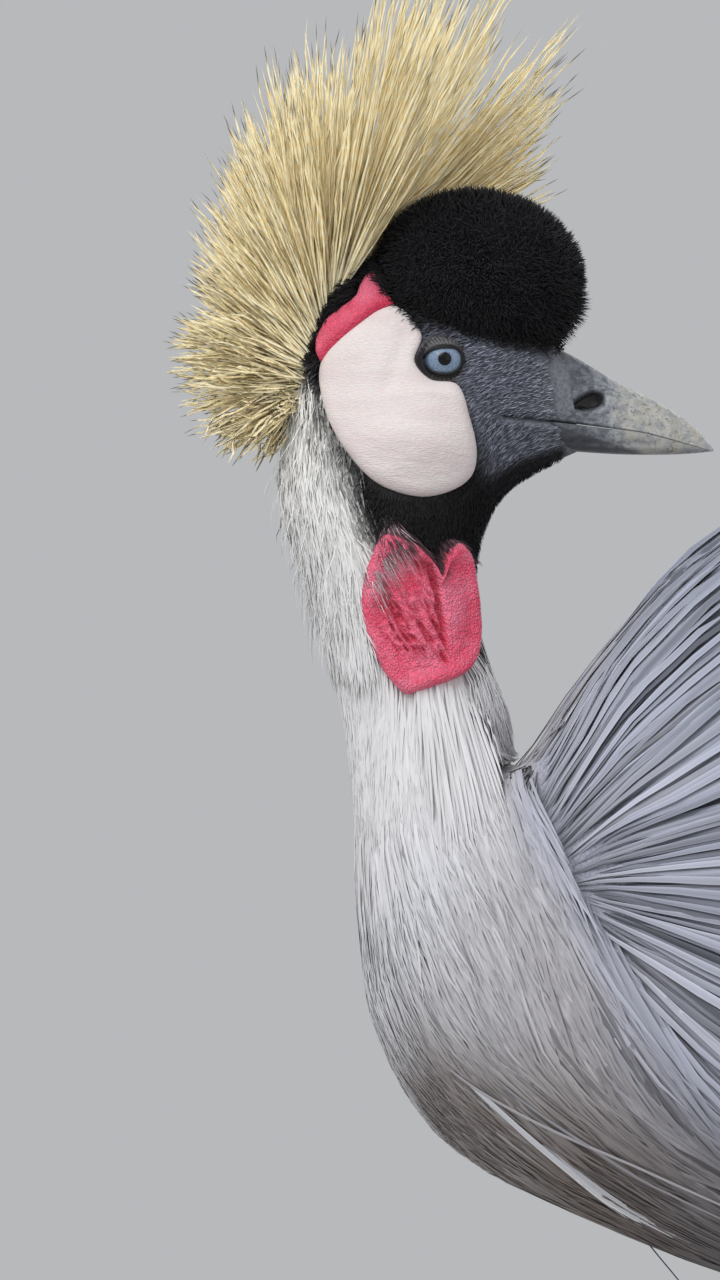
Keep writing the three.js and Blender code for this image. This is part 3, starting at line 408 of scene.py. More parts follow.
# Lie of the plumage as seen from the side: x, z and degrees below level
lieOfPlumage = {
    "breast": np.array([
        (-204, 700, 88), (-200, 680, 82), (-195, 660, 80), (-182, 668, 70), (-180, 645, 78), (-191, 634, 82),
        (-160, 640, 86), (-186, 615, 82), (-183, 584, 84), (-182, 557, 90), (-180, 530, 87), (-177, 503, 72),
        (-168, 482, 58), (-153, 464, 43), (-131, 448, 28), (-108, 439, 18), (-172, 604, 95), (-175, 580, 91),
        (-158, 601, 88), (-143, 601, 70), (-136, 587, 69), (-146, 580, 74), (-158, 573, 82), (-165, 558, 74),
        (-153, 551, 70), (-140, 558, 70), (-129, 565, 73), (-123, 568, 71), (-119, 554, 68), (-172, 537, 82),
        (-158, 530, 71), (-143, 530, 68), (-132, 534, 76), (-122, 530, 79), (-113, 528, 69), (-108, 531, 63),
        (-172, 511, 74), (-158, 508, 63), (-143, 508, 65), (-132, 508, 66), (-121, 508, 73), (-108, 508, 70),
        (-98, 513, 60), (-163, 491, 54), (-148, 493, 50), (-132, 488, 46), (-115, 488, 54), (-101, 490, 59),
        (-86, 494, 60), (-158, 476, 46), (-136, 476, 44), (-115, 476, 38), (-93, 476, 44), (-75, 477, 52),
        (-121, 463, 42), (-101, 461, 32), (-79, 460, 30), (-86, 447, 30), (-72, 437, 28), (-101, 441, 34),
        (-65, 426, 28),
    ], float),
    "mantle": np.array([
        (-119, 606, -63), (-109, 608, -63), (-121, 580, -62), (-108, 590, -55), (-112, 568, -40), (-101, 580, -40),
        (-86, 590, -36), (-72, 590, -33), (-79, 601, -42), (-63, 608, -38), (-101, 558, -18), (-86, 564, -16),
        (-65, 568, -14), (-103, 551, -6), (-86, 551, -2), (-63, 553, -2), (-101, 545, 8), (-86, 543, 10),
        (-65, 541, 9), (-101, 541, 22), (-86, 534, 25), (-65, 525, 24), (-101, 534, 38), (-86, 524, 38),
        (-65, 508, 34), (-98, 524, 50), (-86, 514, 48), (-72, 497, 46), (-102, 515, 60), (-92, 500, 57),
        (-79, 485, 52), (-109, 537, 55), (-112, 545, 50), (-113, 549, 20), (-115, 553, -20), (-116, 558, -40),
        (-120, 565, -52), (-123, 574, -58), (-75, 471, 50), (-63, 468, 42), (-57, 630, -34), (-81, 634, -48),
    ], float),
    "face": np.array([
        (-136, 727, 156), (-128, 729, 150), (-139, 734, 165), (-119, 729, 165), (-137, 719, 158), (-125, 718, 172),
        (-116, 716, 175), (-141, 712, 150), (-136, 705, 133), (-126, 704, 149), (-116, 703, 165), (-138, 698, 120),
        (-131, 697, 150), (-121, 699, 165), (-102, 706, 175), (-89, 731, 100), (-123, 734, 140), (-112, 733, 120),
    ], float),
}


def lieAt(table, x, z, ownX, ownZ):
    # Blend of the read directions by nearness, and of the way along the stations further off
    away = (x[:, None] - table[:, 0]) ** 2 + (z[:, None] - table[:, 1]) ** 2
    weight = 1 / (away + 40) ** 1.7
    turn = np.radians(table[:, 2])
    own = 1 / (45.0 ** 2) ** 1.7
    flowX = weight @ np.cos(turn) + own * ownX
    flowZ = weight @ -np.sin(turn) + own * ownZ
    size = np.hypot(flowX, flowZ)
    return flowX / size, flowZ / size


def layFeathers(station, angle, length, rows, heights, drift=0.0, bend=0.0, lie=None):
    # The shafts run over the surface from their roots. Each step follows the lie of the plumage,
    # as the mix of the two ways over the surface that looks most like it from the side, turned
    # by drift; heights lifts every row off the surface
    shaft, ways = [], []
    s, a = station.copy(), angle.copy()
    for i in range(rows):
        if i:
            along, around = tangents(s, a)
            here = barePoint(s, a)
            way = unit(along)
            if lie is not None:
                flowX, flowZ = lieAt(lieOfPlumage[lie], here[:, 0], here[:, 2], way[:, 0], way[:, 2])
                aa = along[:, 0] ** 2 + along[:, 2] ** 2
                ab = along[:, 0] * around[:, 0] + along[:, 2] * around[:, 2]
                bb = around[:, 0] ** 2 + around[:, 2] ** 2 + 0.05 * (around ** 2).sum(-1)
                fa = along[:, 0] * flowX + along[:, 2] * flowZ
                fb = around[:, 0] * flowX + around[:, 2] * flowZ
                det = np.maximum(aa * bb - ab * ab, 1e-6)
                p, q = (fa * bb - fb * ab) / det, (fb * aa - fa * ab) / det
                way = unit(along * p[:, None] + around * q[:, None])
            sideways = unit(np.cross(np.cross(along, around), way))
            turn = drift + bend * (i / (rows - 1) - 0.5)
            step = way * np.cos(turn)[:, None] + sideways * np.sin(turn)[:, None]
            a11, a12, a22 = (along * along).sum(-1), (along * around).sum(-1), (around * around).sum(-1)
            b1, b2 = (along * step).sum(-1), (around * step).sum(-1)
            det = np.maximum(a11 * a22 - a12 * a12, 1e-6)
            pace = length / (rows - 1)
            s = s + pace * (b1 * a22 - b2 * a12) / det
            a = a + pace * (b2 * a11 - b1 * a12) / det
        point, out = surfaceAt(s, a, heights[..., i])
        shaft.append(point)
        ways.append(out)
    return np.stack(shaft, 1), np.stack(ways, 1), s, a


def onUnwrap(station, angle):
    # Share of the way along the bird and of the turn round it
    return np.stack([np.clip(station / lastStation, 0, 1), (angle / (2 * math.pi)) % 1], -1)


# Materials

def node(tree, kind, inputs=None, **settings):
    # A new node; inputs holds values for its sockets, or other sockets to link to them
    made = tree.nodes.new(kind)
    for key, value in settings.items():
        setattr(made, key, value)
    for key, value in (inputs or {}).items():
        if isinstance(value, bpy.types.NodeSocket):
            tree.links.new(value, made.inputs[key])
        else:
            made.inputs[key].default_value = value
    return made


def maths(tree, operation, a, b=0.5):
    return node(tree, "ShaderNodeMath", {0: a, 1: b}, operation=operation).outputs[0]


def times(tree, a, b):
    return maths(tree, "MULTIPLY", a, b)


def plus(tree, a, b):
    return maths(tree, "ADD", a, b)


def minus(tree, a, b):
    return maths(tree, "SUBTRACT", a, b)


def scaled(tree, vector, by):
    return node(tree, "ShaderNodeVectorMath", {0: vector, "Scale": by}, operation="SCALE").outputs[0]


def partsOf(tree, vector):
    return node(tree, "ShaderNodeSeparateXYZ", {0: vector}).outputs


def attribute(tree, name, output="Color"):
    return node(tree, "ShaderNodeAttribute", attribute_name=name).outputs[output]


def mapOf(tree, name):
    return node(tree, "ShaderNodeUVMap", uv_map=name).outputs[0]


def blend(tree, factor, a, b):
    return node(tree, "ShaderNodeMix", {0: factor, 6: a, 7: b}, data_type="RGBA").outputs[2]


def between(tree, value, low, high, toLow=0.0, toHigh=1.0):
    # toLow up to low, toHigh from high on, and a smooth step from one to the other
    return node(tree, "ShaderNodeMapRange", {"Value": value, "From Min": low, "From Max": high, "To Min": toLow,
                                             "To Max": toHigh}, interpolation_type="SMOOTHSTEP").outputs[0]


def noise(tree, vector, scale, detail=2.0, roughness=0.5, distortion=0.0):
    return node(tree, "ShaderNodeTexNoise", {"Vector": vector, "Scale": scale, "Detail": detail,
                                             "Roughness": roughness, "Distortion": distortion}).outputs[0]


def objectPlace(tree):
    return node(tree, "ShaderNodeTexCoord").outputs["Object"]


def stretched(tree, vector, scale, rotation=(0, 0, 0)):
    return node(tree, "ShaderNodeMapping", {"Vector": vector, "Scale": scale, "Rotation": rotation}).outputs[0]


def paint(made, shade, height, strength, distance):
    # Links a colour and a relief to the material's shader
    tree, shader = made.node_tree, made.node_tree.nodes["Principled BSDF"]
    relief = node(tree, "ShaderNodeBump", {"Height": height, "Strength": strength, "Distance": distance})
    tree.links.new(shade, shader.inputs["Base Color"])
    tree.links.new(relief.outputs[0], shader.inputs["Normal"])


def colour(r, g, b):
    # From 0 to 255 as seen on a screen, to linear light
    c = np.array([r, g, b], float) / 255
    return np.where(c <= 0.04045, c / 12.92, ((c + 0.055) / 1.055) ** 2.4)


def rgba(r, g, b):
    return (*colour(r, g, b), 1.0)


def newMaterial(name, values):
    # values are set on the shader's own sockets
    made = bpy.data.materials.new(name)
    made.use_nodes = True
    tree = made.node_tree
    shader = tree.nodes["Principled BSDF"]
    for key, value in values.items():
        shader.inputs[key].default_value = value
    return made, tree, shader


def groupOf(name, inputs, outputs):
    # A node group, the sockets it is given and those it puts out
    group = bpy.data.node_groups.new(name, "ShaderNodeTree")
    for title, kind, value in inputs:
        socket = group.interface.new_socket(title, in_out="INPUT", socket_type=kind)
        if value is not None:
            socket.default_value = value
    for title, kind in outputs:
        group.interface.new_socket(title, in_out="OUTPUT", socket_type=kind)
    return group, group.nodes.new("NodeGroupInput").outputs, group.nodes.new("NodeGroupOutput").inputs


def featherGroup():
    # Barbs, shaft and edges of a vane, and painted shade toward its root, from its own map: x across it and y along
    # it
    group, given, out = groupOf(
        "featherBarbs",
        [("Plumage", "NodeSocketColor", None), ("Map", "NodeSocketVector", None), ("Tone", "NodeSocketFloat", 0.5),
         ("Strands", "NodeSocketFloat", 14.0), ("Slant", "NodeSocketFloat", 0.0), ("Streak", "NodeSocketFloat", 0.3),
         ("Edge", "NodeSocketFloat", 0.2), ("Root", "NodeSocketFloat", 0.4), ("Variety", "NodeSocketFloat", 0.2)],
        [("Color", "NodeSocketColor"), ("Height", "NodeSocketFloat")])
    t = group
    xyz = partsOf(t, given["Map"])
    off = maths(t, "ABSOLUTE", minus(t, xyz[0], 0.5))
    side = times(t, off, 2.0)
    run = minus(t, times(t, xyz[1], 1.6), times(t, side, given["Slant"]))
    place = node(t, "ShaderNodeCombineXYZ", {0: times(t, xyz[0], given["Strands"]), 1: run,
                                             2: times(t, given["Tone"], 83.0)}).outputs[0]
    strands = noise(t, place, 1.0, 3.0, 0.6)
    streak = times(t, minus(t, strands, 0.5), times(t, given["Streak"], 3.0))
    vary = times(t, minus(t, given["Tone"], 0.5), given["Variety"])
    # Painted shade darkens each vane toward its root, where it lies under its neighbours
    root = times(t, between(t, xyz[1], 0.0, 0.45, 1.0, 0.0), given["Root"])
    light = minus(t, plus(t, plus(t, 1.0, streak), times(t, vary, 2.0)), root)
    light = maths(t, "MAXIMUM", light, 0.05)
    shaded = scaled(t, given["Plumage"], light)
    edge = times(t, between(t, side, 0.35, 0.95), given["Edge"])
    t.links.new(blend(t, edge, shaded, scaled(t, given["Plumage"], 1.6)), out["Color"])
    ridge = between(t, side, 0.0, 0.25, 1.0, 0.0)
    t.links.new(plus(t, strands, times(t, ridge, 0.4)), out["Height"])
    return group


featherBarbs = featherGroup()


def featherMaterial(name, strands=14.0, slant=0.0, streak=0.3, edge=0.2, root=0.4, variety=0.2, roughness=0.6,
                    relief=0.4, sheen=0.15, specular=0.35):
    # strands to variety are the group's own, root being the strength of the painted shade toward
    # each vane's root; slant draws the barbs toward the tip
    made, tree, shader = newMaterial(name, {"Roughness": roughness, "Sheen Weight": sheen, "Sheen Roughness": 0.5,
                                            "Specular IOR Level": specular})
    barbs = node(tree, "ShaderNodeGroup", {
        "Plumage": attribute(tree, "plumage"), "Map": mapOf(tree, "vane"),
        "Tone": attribute(tree, "tone", "Fac"), "Strands": strands, "Slant": slant, "Streak": streak,
        "Edge": edge, "Root": root, "Variety": variety,
    }, node_tree=featherBarbs)
    paint(made, barbs.outputs["Color"], barbs.outputs["Height"], relief, 0.0006)
    return made


# Camera, light and floor
view = {
    "centre": (-258.06, 633.76),  # x and z in the middle of the picture, in mm
    "high": 441.6,  # mm seen from top to bottom
    "distance": 5.0,
    "sensor": 36.0,
}


def setUpView():
    # Level from the near side; the lens is as many times the sensor as the distance is the view
    x, z = view["centre"]
    camera = bpy.data.cameras.new("camera")
    camera.sensor_width = view["sensor"]
    camera.lens = view["sensor"] * view["distance"] / (view["high"] * 0.001)
    camera.clip_end = 100
    holder = bpy.data.objects.new("camera", camera)
    holder.location = (x * 0.001, -view["distance"], z * 0.001)
    holder.rotation_euler = (math.pi / 2, 0, 0)
    bpy.context.scene.collection.objects.link(holder)
    bpy.context.scene.camera = holder


studio = {
    "lamps": [  # name, where the light comes from, how broad it is in degrees, strength
        ("keyLight", (-2.2, -3.0, 3.4), 50, 1.75),
        ("fillLight", (3.4, -3.2, 1.2), 80, 0.55),
        ("rearLight", (1.2, 3.6, 2.4), 60, 0.9),
    ],
    "sky": 0.5,
    "skyColour": (0.95, 0.97, 1.0, 1),
    "floor": (0.5, 0.49, 0.47, 1),
    "floorRadius": 8,
    "floorSides": 96,
}


def setUpLight():
    # Broad suns that shine from their places to the middle, and an even sky
    for name, place, spread, strength in studio["lamps"]:
        lamp = bpy.data.lights.new(name, "SUN")
        lamp.angle = math.radians(spread)
        lamp.energy = strength
        holder = bpy.data.objects.new(name, lamp)
        holder.location = place
        holder.rotation_euler = (-Vector(place)).to_track_quat("-Z", "Y").to_euler()
        bpy.context.scene.collection.objects.link(holder)
    world = bpy.data.worlds.new("studio")
    world.use_nodes = True
    background = world.node_tree.nodes["Background"]
    background.inputs["Color"].default_value = studio["skyColour"]
    background.inputs["Strength"].default_value = studio["sky"]
    bpy.context.scene.world = world
    bpy.context.scene.view_settings.view_transform = "Standard"


def addFloor():
    # A flat disc with a fine grain, for the stage only
    mesh = bpy.data.meshes.new("floor")
    turn = roundTurn(studio["floorSides"])
    ring = np.stack([np.cos(turn), np.sin(turn), 0 * turn], -1) * studio["floorRadius"]
    mesh.from_pydata(ring.tolist(), [], [list(range(len(ring)))])
    made, tree, shader = newMaterial("floorPaint", {"Roughness": 0.7, "Base Color": studio["floor"]})
    grain = noise(tree, objectPlace(tree), 60.0, 4.0)
    relief = node(tree, "ShaderNodeBump", {"Height": grain, "Strength": 0.08, "Distance": 0.002})
    tree.links.new(relief.outputs[0], shader.inputs["Normal"])
    mesh.materials.append(made)
    floor = bpy.data.objects.new("floor", mesh)
    bpy.context.scene.collection.objects.link(floor)


setUpView()
setUpLight()
addFloor()
print("stage ready")


# Markings: the colour of the plumage at a place on the bird, the same for skin and coat
plumage = {
    "black": colour(22, 21, 25),
    "lore": colour(94, 97, 108),
    "napePale": colour(242, 241, 238),
    "neckPale": colour(228, 227, 229),
    "neckGrey": colour(198, 199, 205),
    "breast": colour(172, 169, 174),
    "breastLow": colour(101, 88, 81),
    "mantle": colour(134, 139, 153),
    "mantlePale": colour(168, 171, 187),
    "body": colour(126, 130, 142),
    "belly": colour(108, 110, 118),
    "blackEdgeAt": [0, 30, 40, 51, 60, 72, 80, 92, 115, 133, 150, 180],
    "blackEdge": [4.15, 4.22, 4.5, 4.75, 4.92, 5.2, 5.75, 5.8, 5.7, 5.6, 5.2, 5.0],
    "fanAt": [8.95, 9.25, 9.75, 10.5, 11.0, 11.32, 11.73, 12.06, 12.5, 12.82, 13.1, 13.35, 13.62, 13.9, 15],
    "fanEdge": [180, 165, 150, 133, 120, 110, 101, 94, 86, 78, 70, 62, 55, 50, 46],
}


def blackEdge(angle):
    # Station where the black of the head gives way to the pale neck, by angle
    return np.interp(fromFront(angle), plumage["blackEdgeAt"], plumage["blackEdge"])


def fanEdge(station):
    # Degrees from the front line at which the fan of the mantle comes out from under the neck
    return np.interp(station, plumage["fanAt"], plumage["fanEdge"])


def loreShare(station, degrees):
    # How far the face before the eye is bare slate skin: none on the crown and under the chin
    share = smooth(station, 2.7, 2.0) * smooth(degrees, 42, 62) * (1 - smooth(degrees, 136, 152))
    return np.clip(np.maximum(share, smooth(station, 0.5, 0.25)), 0, 1) * (station < 3)


def plumageAt(station, angle):
    # Down the neck the nape's white turns grey, then the breast's and the body's; the brown low
    # on the breast, the fan of the mantle, the black of the head and the lore are laid over it
    a = fromFront(angle)
    s = station[..., None]
    shade = mix(plumage["napePale"], plumage["neckPale"], smooth(s, 5.5, 7.5))
    shade = mix(shade, plumage["neckGrey"], smooth(s, 8.8, 11.0))
    shade = mix(shade, plumage["breast"], smooth(s, 10.8, 12.6))
    # Greyer toward the rear line of the neck: partly the plumage's own grey, partly painted shade on the side turned
    # from the key light
    rear = smooth(a, 90, 150)[..., None] * smooth(s, 7.5, 9.5)
    shade = mix(shade, plumage["breast"], 0.6 * rear)
    shade = mix(shade, plumage["body"], smooth(s, 13, 15))
    start = 11.95 - 0.6 * smooth(a, 4, 18)[..., None]
    low = smooth(s, start, start + 0.7) * (1 - smooth(a, 34, 54))[..., None] * (1 - smooth(s, 15, 17))
    shade = mix(shade, plumage["breastLow"], low)
    shade = mix(shade, plumage["belly"], (smooth(s, 13, 15) * (1 - smooth(a, 40, 100))[..., None]))
    onFan = smooth(a - fanEdge(station), -10, 6)[..., None] * smooth(s, 8.9, 9.4)
    upper = mix(plumage["mantlePale"], plumage["mantle"], smooth(a - fanEdge(station), 4, 28)[..., None])
    shade = mix(shade, upper, onFan)
    edge = blackEdge(angle)[..., None]
    spread = 0.5 * (smooth(a, 30, 45) * (1 - smooth(a, 78, 95)))[..., None]
    shade = mix(plumage["black"], shade, smooth(s - edge, -0.15 - 1.1 * spread, 0.28 + spread))
    lore = mix(colour(112, 116, 124), plumage["lore"], smooth(s, 0.2, 1.1))
    return mix(shade, lore, loreShare(station, a)[..., None])


def coatDepth(station, angle):
    # Depth of the loose plumage over the flesh, as in the solids
    onBack = smooth(-np.cos(angle), 0.2, 0.6)
    return (5 + 4 * onBack * smooth(station, 10, 12)) * smooth(station, 7.45, 11.45)


skinSizes = {
    "underVelvet": 0.7,
    "underNeck": 2.2,
    "underBody": 2.6,
    "eyeDish": 3.6,
    "mouthTo": 2.6,  # station up to which the mouth line is looked for
}
mouthLine = np.array([(-131, 711), (-121.6, 709.8), (-111.9, 708.8), (-92.6, 706.4), (-82.9, 705), (-73.2, 702.6),
                      (-57, 698.2)], float)


def mouthDistance(x, z):
    # Distance from the mouth line as seen from the side
    line = curveAt(mouthLine, np.linspace(0, 0.4, 60), even=False)
    return np.sqrt(((x[..., None] - line[:, 0]) ** 2 + (z[..., None] - line[:, 1]) ** 2).min(-1))


def skinRaise(station, angle):
    # How far the flesh lies under the outer form, with the dish round the eye and the mouth
    depth = mix(skinSizes["underVelvet"], skinSizes["underNeck"], smooth(station, 4.6, 5.6))
    depth = mix(depth, skinSizes["underBody"], smooth(station, 9, 11)) + coatDepth(station, angle)
    raised = -depth
    head = station < 6
    p = barePoint(station, angle)
    x, z = p[..., 0], p[..., 2]
    ex, _, ez = bird["eye"]
    away = np.hypot(x - ex, (z - ez) * 1.1)
    onCheekSide = np.abs(np.sin(angle)) > 0.5
    raised = raised - head * onCheekSide * skinSizes["eyeDish"] * np.exp(-(away / 8.6) ** 4)
    raised = raised + head * onCheekSide * 0.9 * np.exp(-((z - ez - 11.5) / 3) ** 2 - ((x - ex - 2) / 9) ** 2)
    near = station < skinSizes["mouthTo"]
    gape = mouthDistance(np.where(near, x, 0), np.where(near, z, 0))
    raised = raised - near * 1.9 * np.exp(-(gape / 0.8) ** 2) + near * 0.6 * np.exp(-((gape - 3) / 1.6) ** 2)
    return raised


def skinMaterial():
    # The mesh carries the markings, and fine noise lightens and darkens them
    made, tree, shader = newMaterial("fleshUnderPlumage", {"Roughness": 0.75})
    fine = noise(tree, objectPlace(tree), 900.0, 3.0, 0.6)
    shade = scaled(tree, attribute(tree, "plumage"), between(tree, fine, 0.3, 0.7, 0.7, 1.15))
    paint(made, shade, fine, 0.5, 0.0008)
    return made


def ringsOn(centre, across, up, wide, deep, around):
    # Ellipses round the centres: sine goes across and cosine up
    turn = roundTurn(around)
    return (centre[:, None] + across * (np.sin(turn)[None] * wide[:, None])[..., None]
            + up * (np.cos(turn)[None] * deep[:, None])[..., None])


def limbRings(points, around, count):
    # Round sections along a smooth path: x, y, z, half thickness across, half depth fore and aft
    t = np.linspace(0, 1, count)
    table = curveAt(points, t)
    centre, thick, deep = table[:, :3], table[:, 3], table[:, 4]
    along = unit(np.gradient(centre, axis=0))
    across = np.array([0.0, 1.0, 0.0]) - along * along[:, 1:2]
    across = unit(across)
    fore = np.cross(across, along)
    return ringsOn(centre, across[:, None], fore[:, None], thick, deep, around)


leg = {
    "knee": (0.0, 58.0, 452.0),
    "ankle": (68.0, 47.0, 216.0),
    "toeRoot": (52.0, 47.0, 14.0),
    # Share of the way down, half thickness across, half depth
    "thigh": [(0.02, 30, 44), (0.2, 34, 46), (0.36, 26, 35), (0.48, 17, 22), (0.6, 9.5, 11)],
    "shin": [(0.57, 6.8, 7.4), (0.7, 6.3, 7.0), (0.8, 6.2, 7.0), (0.93, 8.4, 9.6), (1.0, 9.6, 11.2)],
    "tarsus": [(-0.035, 9.4, 11.0), (0.02, 9.4, 10.8), (0.1, 7.4, 9.0), (0.3, 5.4, 7.2), (0.7, 5.2, 6.8),
               (0.92, 7.4, 7.4), (0.985, 8.6, 8.2)],
    "around": 28,
    "shinPlates": (4.5, 0.45),  # pitch and depth
    "tarsusPlates": (5.0, 0.55),
}


def onSide(spot, side):
    # A place given for the side of +Y, moved to the wanted side
    return np.array([spot[0], side * spot[1], spot[2]], float)


def alongShin(side, share):
    # On the straight line from knee to ankle
    return mix(onSide(leg["knee"], side), onSide(leg["ankle"], side), np.asarray(share)[..., None])


def limbTable(side, start, end, stops, grow=0.0):
    # The stops of a limb on the line from one joint to the next, with grow added to their sizes
    start, end = onSide(leg[start], side), onSide(leg[end], side)
    return [(*(start + (end - start) * share), thick + grow, deep + grow) for share, thick, deep in leg[stops]]


def makeSkin():
    # One closed loft over the stations, finest on the head, with the thighs joined to it
    s = np.concatenate([np.linspace(0, 5.5, 190, endpoint=False), np.linspace(5.5, 10, 60, endpoint=False),
                        np.linspace(10, 20, 60)])
    station, angle = np.meshgrid(s, roundTurn(180), indexing="ij")
    rings, _ = surfaceAt(station, angle, skinRaise(station, angle))
    points, quads, tris = closedLoft(rings)
    p = barePoint(station, angle)
    near = s[:, None] < skinSizes["mouthTo"]
    gape = mouthDistance(np.where(near, p[..., 0], 0), np.where(near, p[..., 2], 0))
    below = p[..., 2] < np.interp(p[..., 0], mouthLine[:, 0], mouthLine[:, 1])
    lip = np.exp(-((gape - 1.7) / 0.8) ** 2) * below * smooth(p[..., 0], -134, -128) * near
    colours = mix(plumageAt(station, angle), colour(128, 133, 142), 0.8 * lip[..., None])
    # Painted shade in the crease of the mouth line
    colours = colours * (1 - 0.85 * np.exp(-(gape / 0.55) ** 2))[..., None]
    colours = colours.reshape(-1, 3)
    colours = np.vstack([colours, colours[0], colours[-1]])
    parts = [(points, quads, tris, colours)]
    for side in (-1, 1):
        p, q, t = closedLoft(limbRings(limbTable(side, "knee", "ankle", "thigh", -3.0), 40, 40))
        parts.append((p, q, t, np.tile(plumage["belly"], (len(p), 1))))
    replaced = ("head", "neck_upper", "neck_lower", "torso", "thigh_left", "thigh_right")
    addPiece("skin", *joinMeshes(parts), "feather_grey", replaced, fleshSkin, np.vstack([p[3] for p in parts]))


fleshSkin = skinMaterial()
makeSkin()


# Bare plates of the face
cheekOutline = np.array([(-169.8, 749.4), (-160, 739), (-162.4, 729.7), (-157, 723.4), (-147.7, 721.6),
                         (-143.4, 710.4), (-141, 698), (-142.6, 690.6), (-147.8, 686), (-158, 683), (-168, 684.5),
                         (-177.4, 689.2), (-188.7, 702.8), (-194, 716), (-194.4, 729.6), (-181.5, 743)], float)
roseOutline = np.array([(-175.8, 760.2), (-178.8, 758.4), (-180.9, 755.6), (-182.4, 752.2), (-186.8, 748.6),
                        (-190.8, 745.4), (-193.9, 741.6), (-195.6, 737.2), (-195.8, 733.2), (-193.9, 729.0),
                        (-190.6, 733.0), (-183.6, 739.6), (-176.4, 745.2), (-169.4, 748.6), (-171.0, 752.6),
                        (-173.2, 757)], float)


def loopOf(outline, count):
    # A smooth closed line through the outline's points
    return curveAt(outline, np.linspace(0, 1, count, endpoint=False), closed=True, even=False)


def grainGroup():
    # Pebbles and creases of bare skin, from Object coordinates
    group, given, out = groupOf(
        "bareSkinGrain",
        [("Place", "NodeSocketVector", None), ("Pebble", "NodeSocketFloat", 1500.0),
         ("Crease", "NodeSocketFloat", 260.0)],
        [("Pebbles", "NodeSocketFloat"), ("Creases", "NodeSocketFloat"), ("Patches", "NodeSocketFloat")])
    t = group
    cells = node(t, "ShaderNodeTexVoronoi", {"Vector": given["Place"], "Scale": given["Pebble"]}).outputs[0]
    t.links.new(between(t, cells, 0.0, 0.8, 1.0, 0.0), out["Pebbles"])
    t.links.new(noise(t, given["Place"], given["Crease"], 4.0, 0.6, 0.8), out["Creases"])
    t.links.new(noise(t, given["Place"], 70.0, 3.0), out["Patches"])
    return group


bareSkinGrain = grainGroup()


def bareSkinMaterial(name, base, deep, pale, pebble, crease, relief, roughness, subsurface,
                     lines=(1, 1, 1), lean=0.0, hollow=None):
    # base with deep in patches, deep as painted shade in the hollows between the pebbles and pale
    # as a painted highlight on the pebbles' tops; hollow is laid where the mesh's tone says, which
    # on the wattle is painted shade in its creases and on the rose patch its deeper red toward the
    # cheek; lines and lean stretch and turn the grain
    made, tree, shader = newMaterial(name, {"Roughness": roughness, "Subsurface Weight": subsurface,
                                            "Subsurface Radius": (0.6, 0.25, 0.2), "Subsurface Scale": 0.003,
                                            "Specular IOR Level": 0.35})
    grain = node(tree, "ShaderNodeGroup", node_tree=bareSkinGrain)
    tree.links.new(stretched(tree, objectPlace(tree), lines, (0, lean, 0)), grain.inputs["Place"])
    grain.inputs["Pebble"].default_value = pebble
    grain.inputs["Crease"].default_value = crease
    patches = between(tree, grain.outputs["Patches"], 0.35, 0.65)
    shade = blend(tree, patches, base, deep)
    # Painted shade in the hollows between the pebbles and a painted highlight on their tops
    pebbleHollowShade = between(tree, grain.outputs["Pebbles"], 0.1, 0.75, 1.0, 0.0)
    shade = blend(tree, times(tree, pebbleHollowShade, 0.55), shade, deep)
    pebbleTopHighlight = between(tree, grain.outputs["Pebbles"], 0.7, 1.0)
    shade = blend(tree, times(tree, pebbleTopHighlight, 0.4), shade, pale)
    # The tone's colour: painted shade in the wattle's creases, the deeper red toward the cheek on the rose patch
    if hollow:
        shade = blend(tree, attribute(tree, "tone", "Fac"), shade, hollow)
    height = plus(tree, grain.outputs["Pebbles"], times(tree, grain.outputs["Creases"], 1.4))
    paint(made, shade, height, relief, 0.0007)
    return made


def edgeDistance(x, z, loop):
    # Distance of each point from a closed outline
    nearest = np.full(x.shape, 1e9)
    for p, q in zip(loop, np.roll(loop, -1, axis=0)):
        run = q - p
        t = np.clip(((x - p[0]) * run[0] + (z - p[1]) * run[1]) / (run @ run), 0, 1)
        nearest = np.minimum(nearest, np.hypot(x - p[0] - t * run[0], z - p[1] - t * run[1]))
    return nearest


def facePlate(name, outline, middle, side, heightAt, roundOff, material, slot, nodes, rings, around, deepAt=None):
    # A pillow over the side of the head: shares of the outline from its middle to its edge, its
    # height rounded off over the last roundOff mm before the rim, and an under face 2.5 mm down
    loop = loopOf(outline, around)
    middle = np.array(middle)
    share = np.concatenate([np.linspace(0.02, 0.84, rings), 1 - 0.16 * (1 - np.linspace(0, 1, 18)[1:]) ** 1.8])
    flat = middle + (loop - middle)[None] * share[:, None, None]
    x, z = flat[..., 0], flat[..., 1]
    station, angle = findOnSide(x, z)
    rim = np.sqrt(np.clip(1 - (1 - np.clip(edgeDistance(x, z, loop) / roundOff, 0, 1)) ** 2, 0, 1))
    raised = -0.3 + (heightAt(x, z) + 0.3) * rim
    top, _ = surfaceAt(station, angle, raised)
    under, _ = surfaceAt(station[::-1][::6], angle[::-1][::6], np.full(station[::6].shape, -2.5))
    sheet = np.concatenate([top, under])
    sheet[..., 1] *= -side
    points, quads, tris = closedLoft(sheet)
    deep = None if deepAt is None else deepAt(points[:, 0], points[:, 2])
    addPiece(name, points, quads, tris, slot, nodes, material, tone=deep)


def roseDeep(x, z):
    # The patch reddens toward the cheek
    return 0.75 * smooth(edgeDistance(x, z, loopOf(cheekOutline, 90)), 4.5, 0.4) + 0.1 * smooth(x, -180, -172)


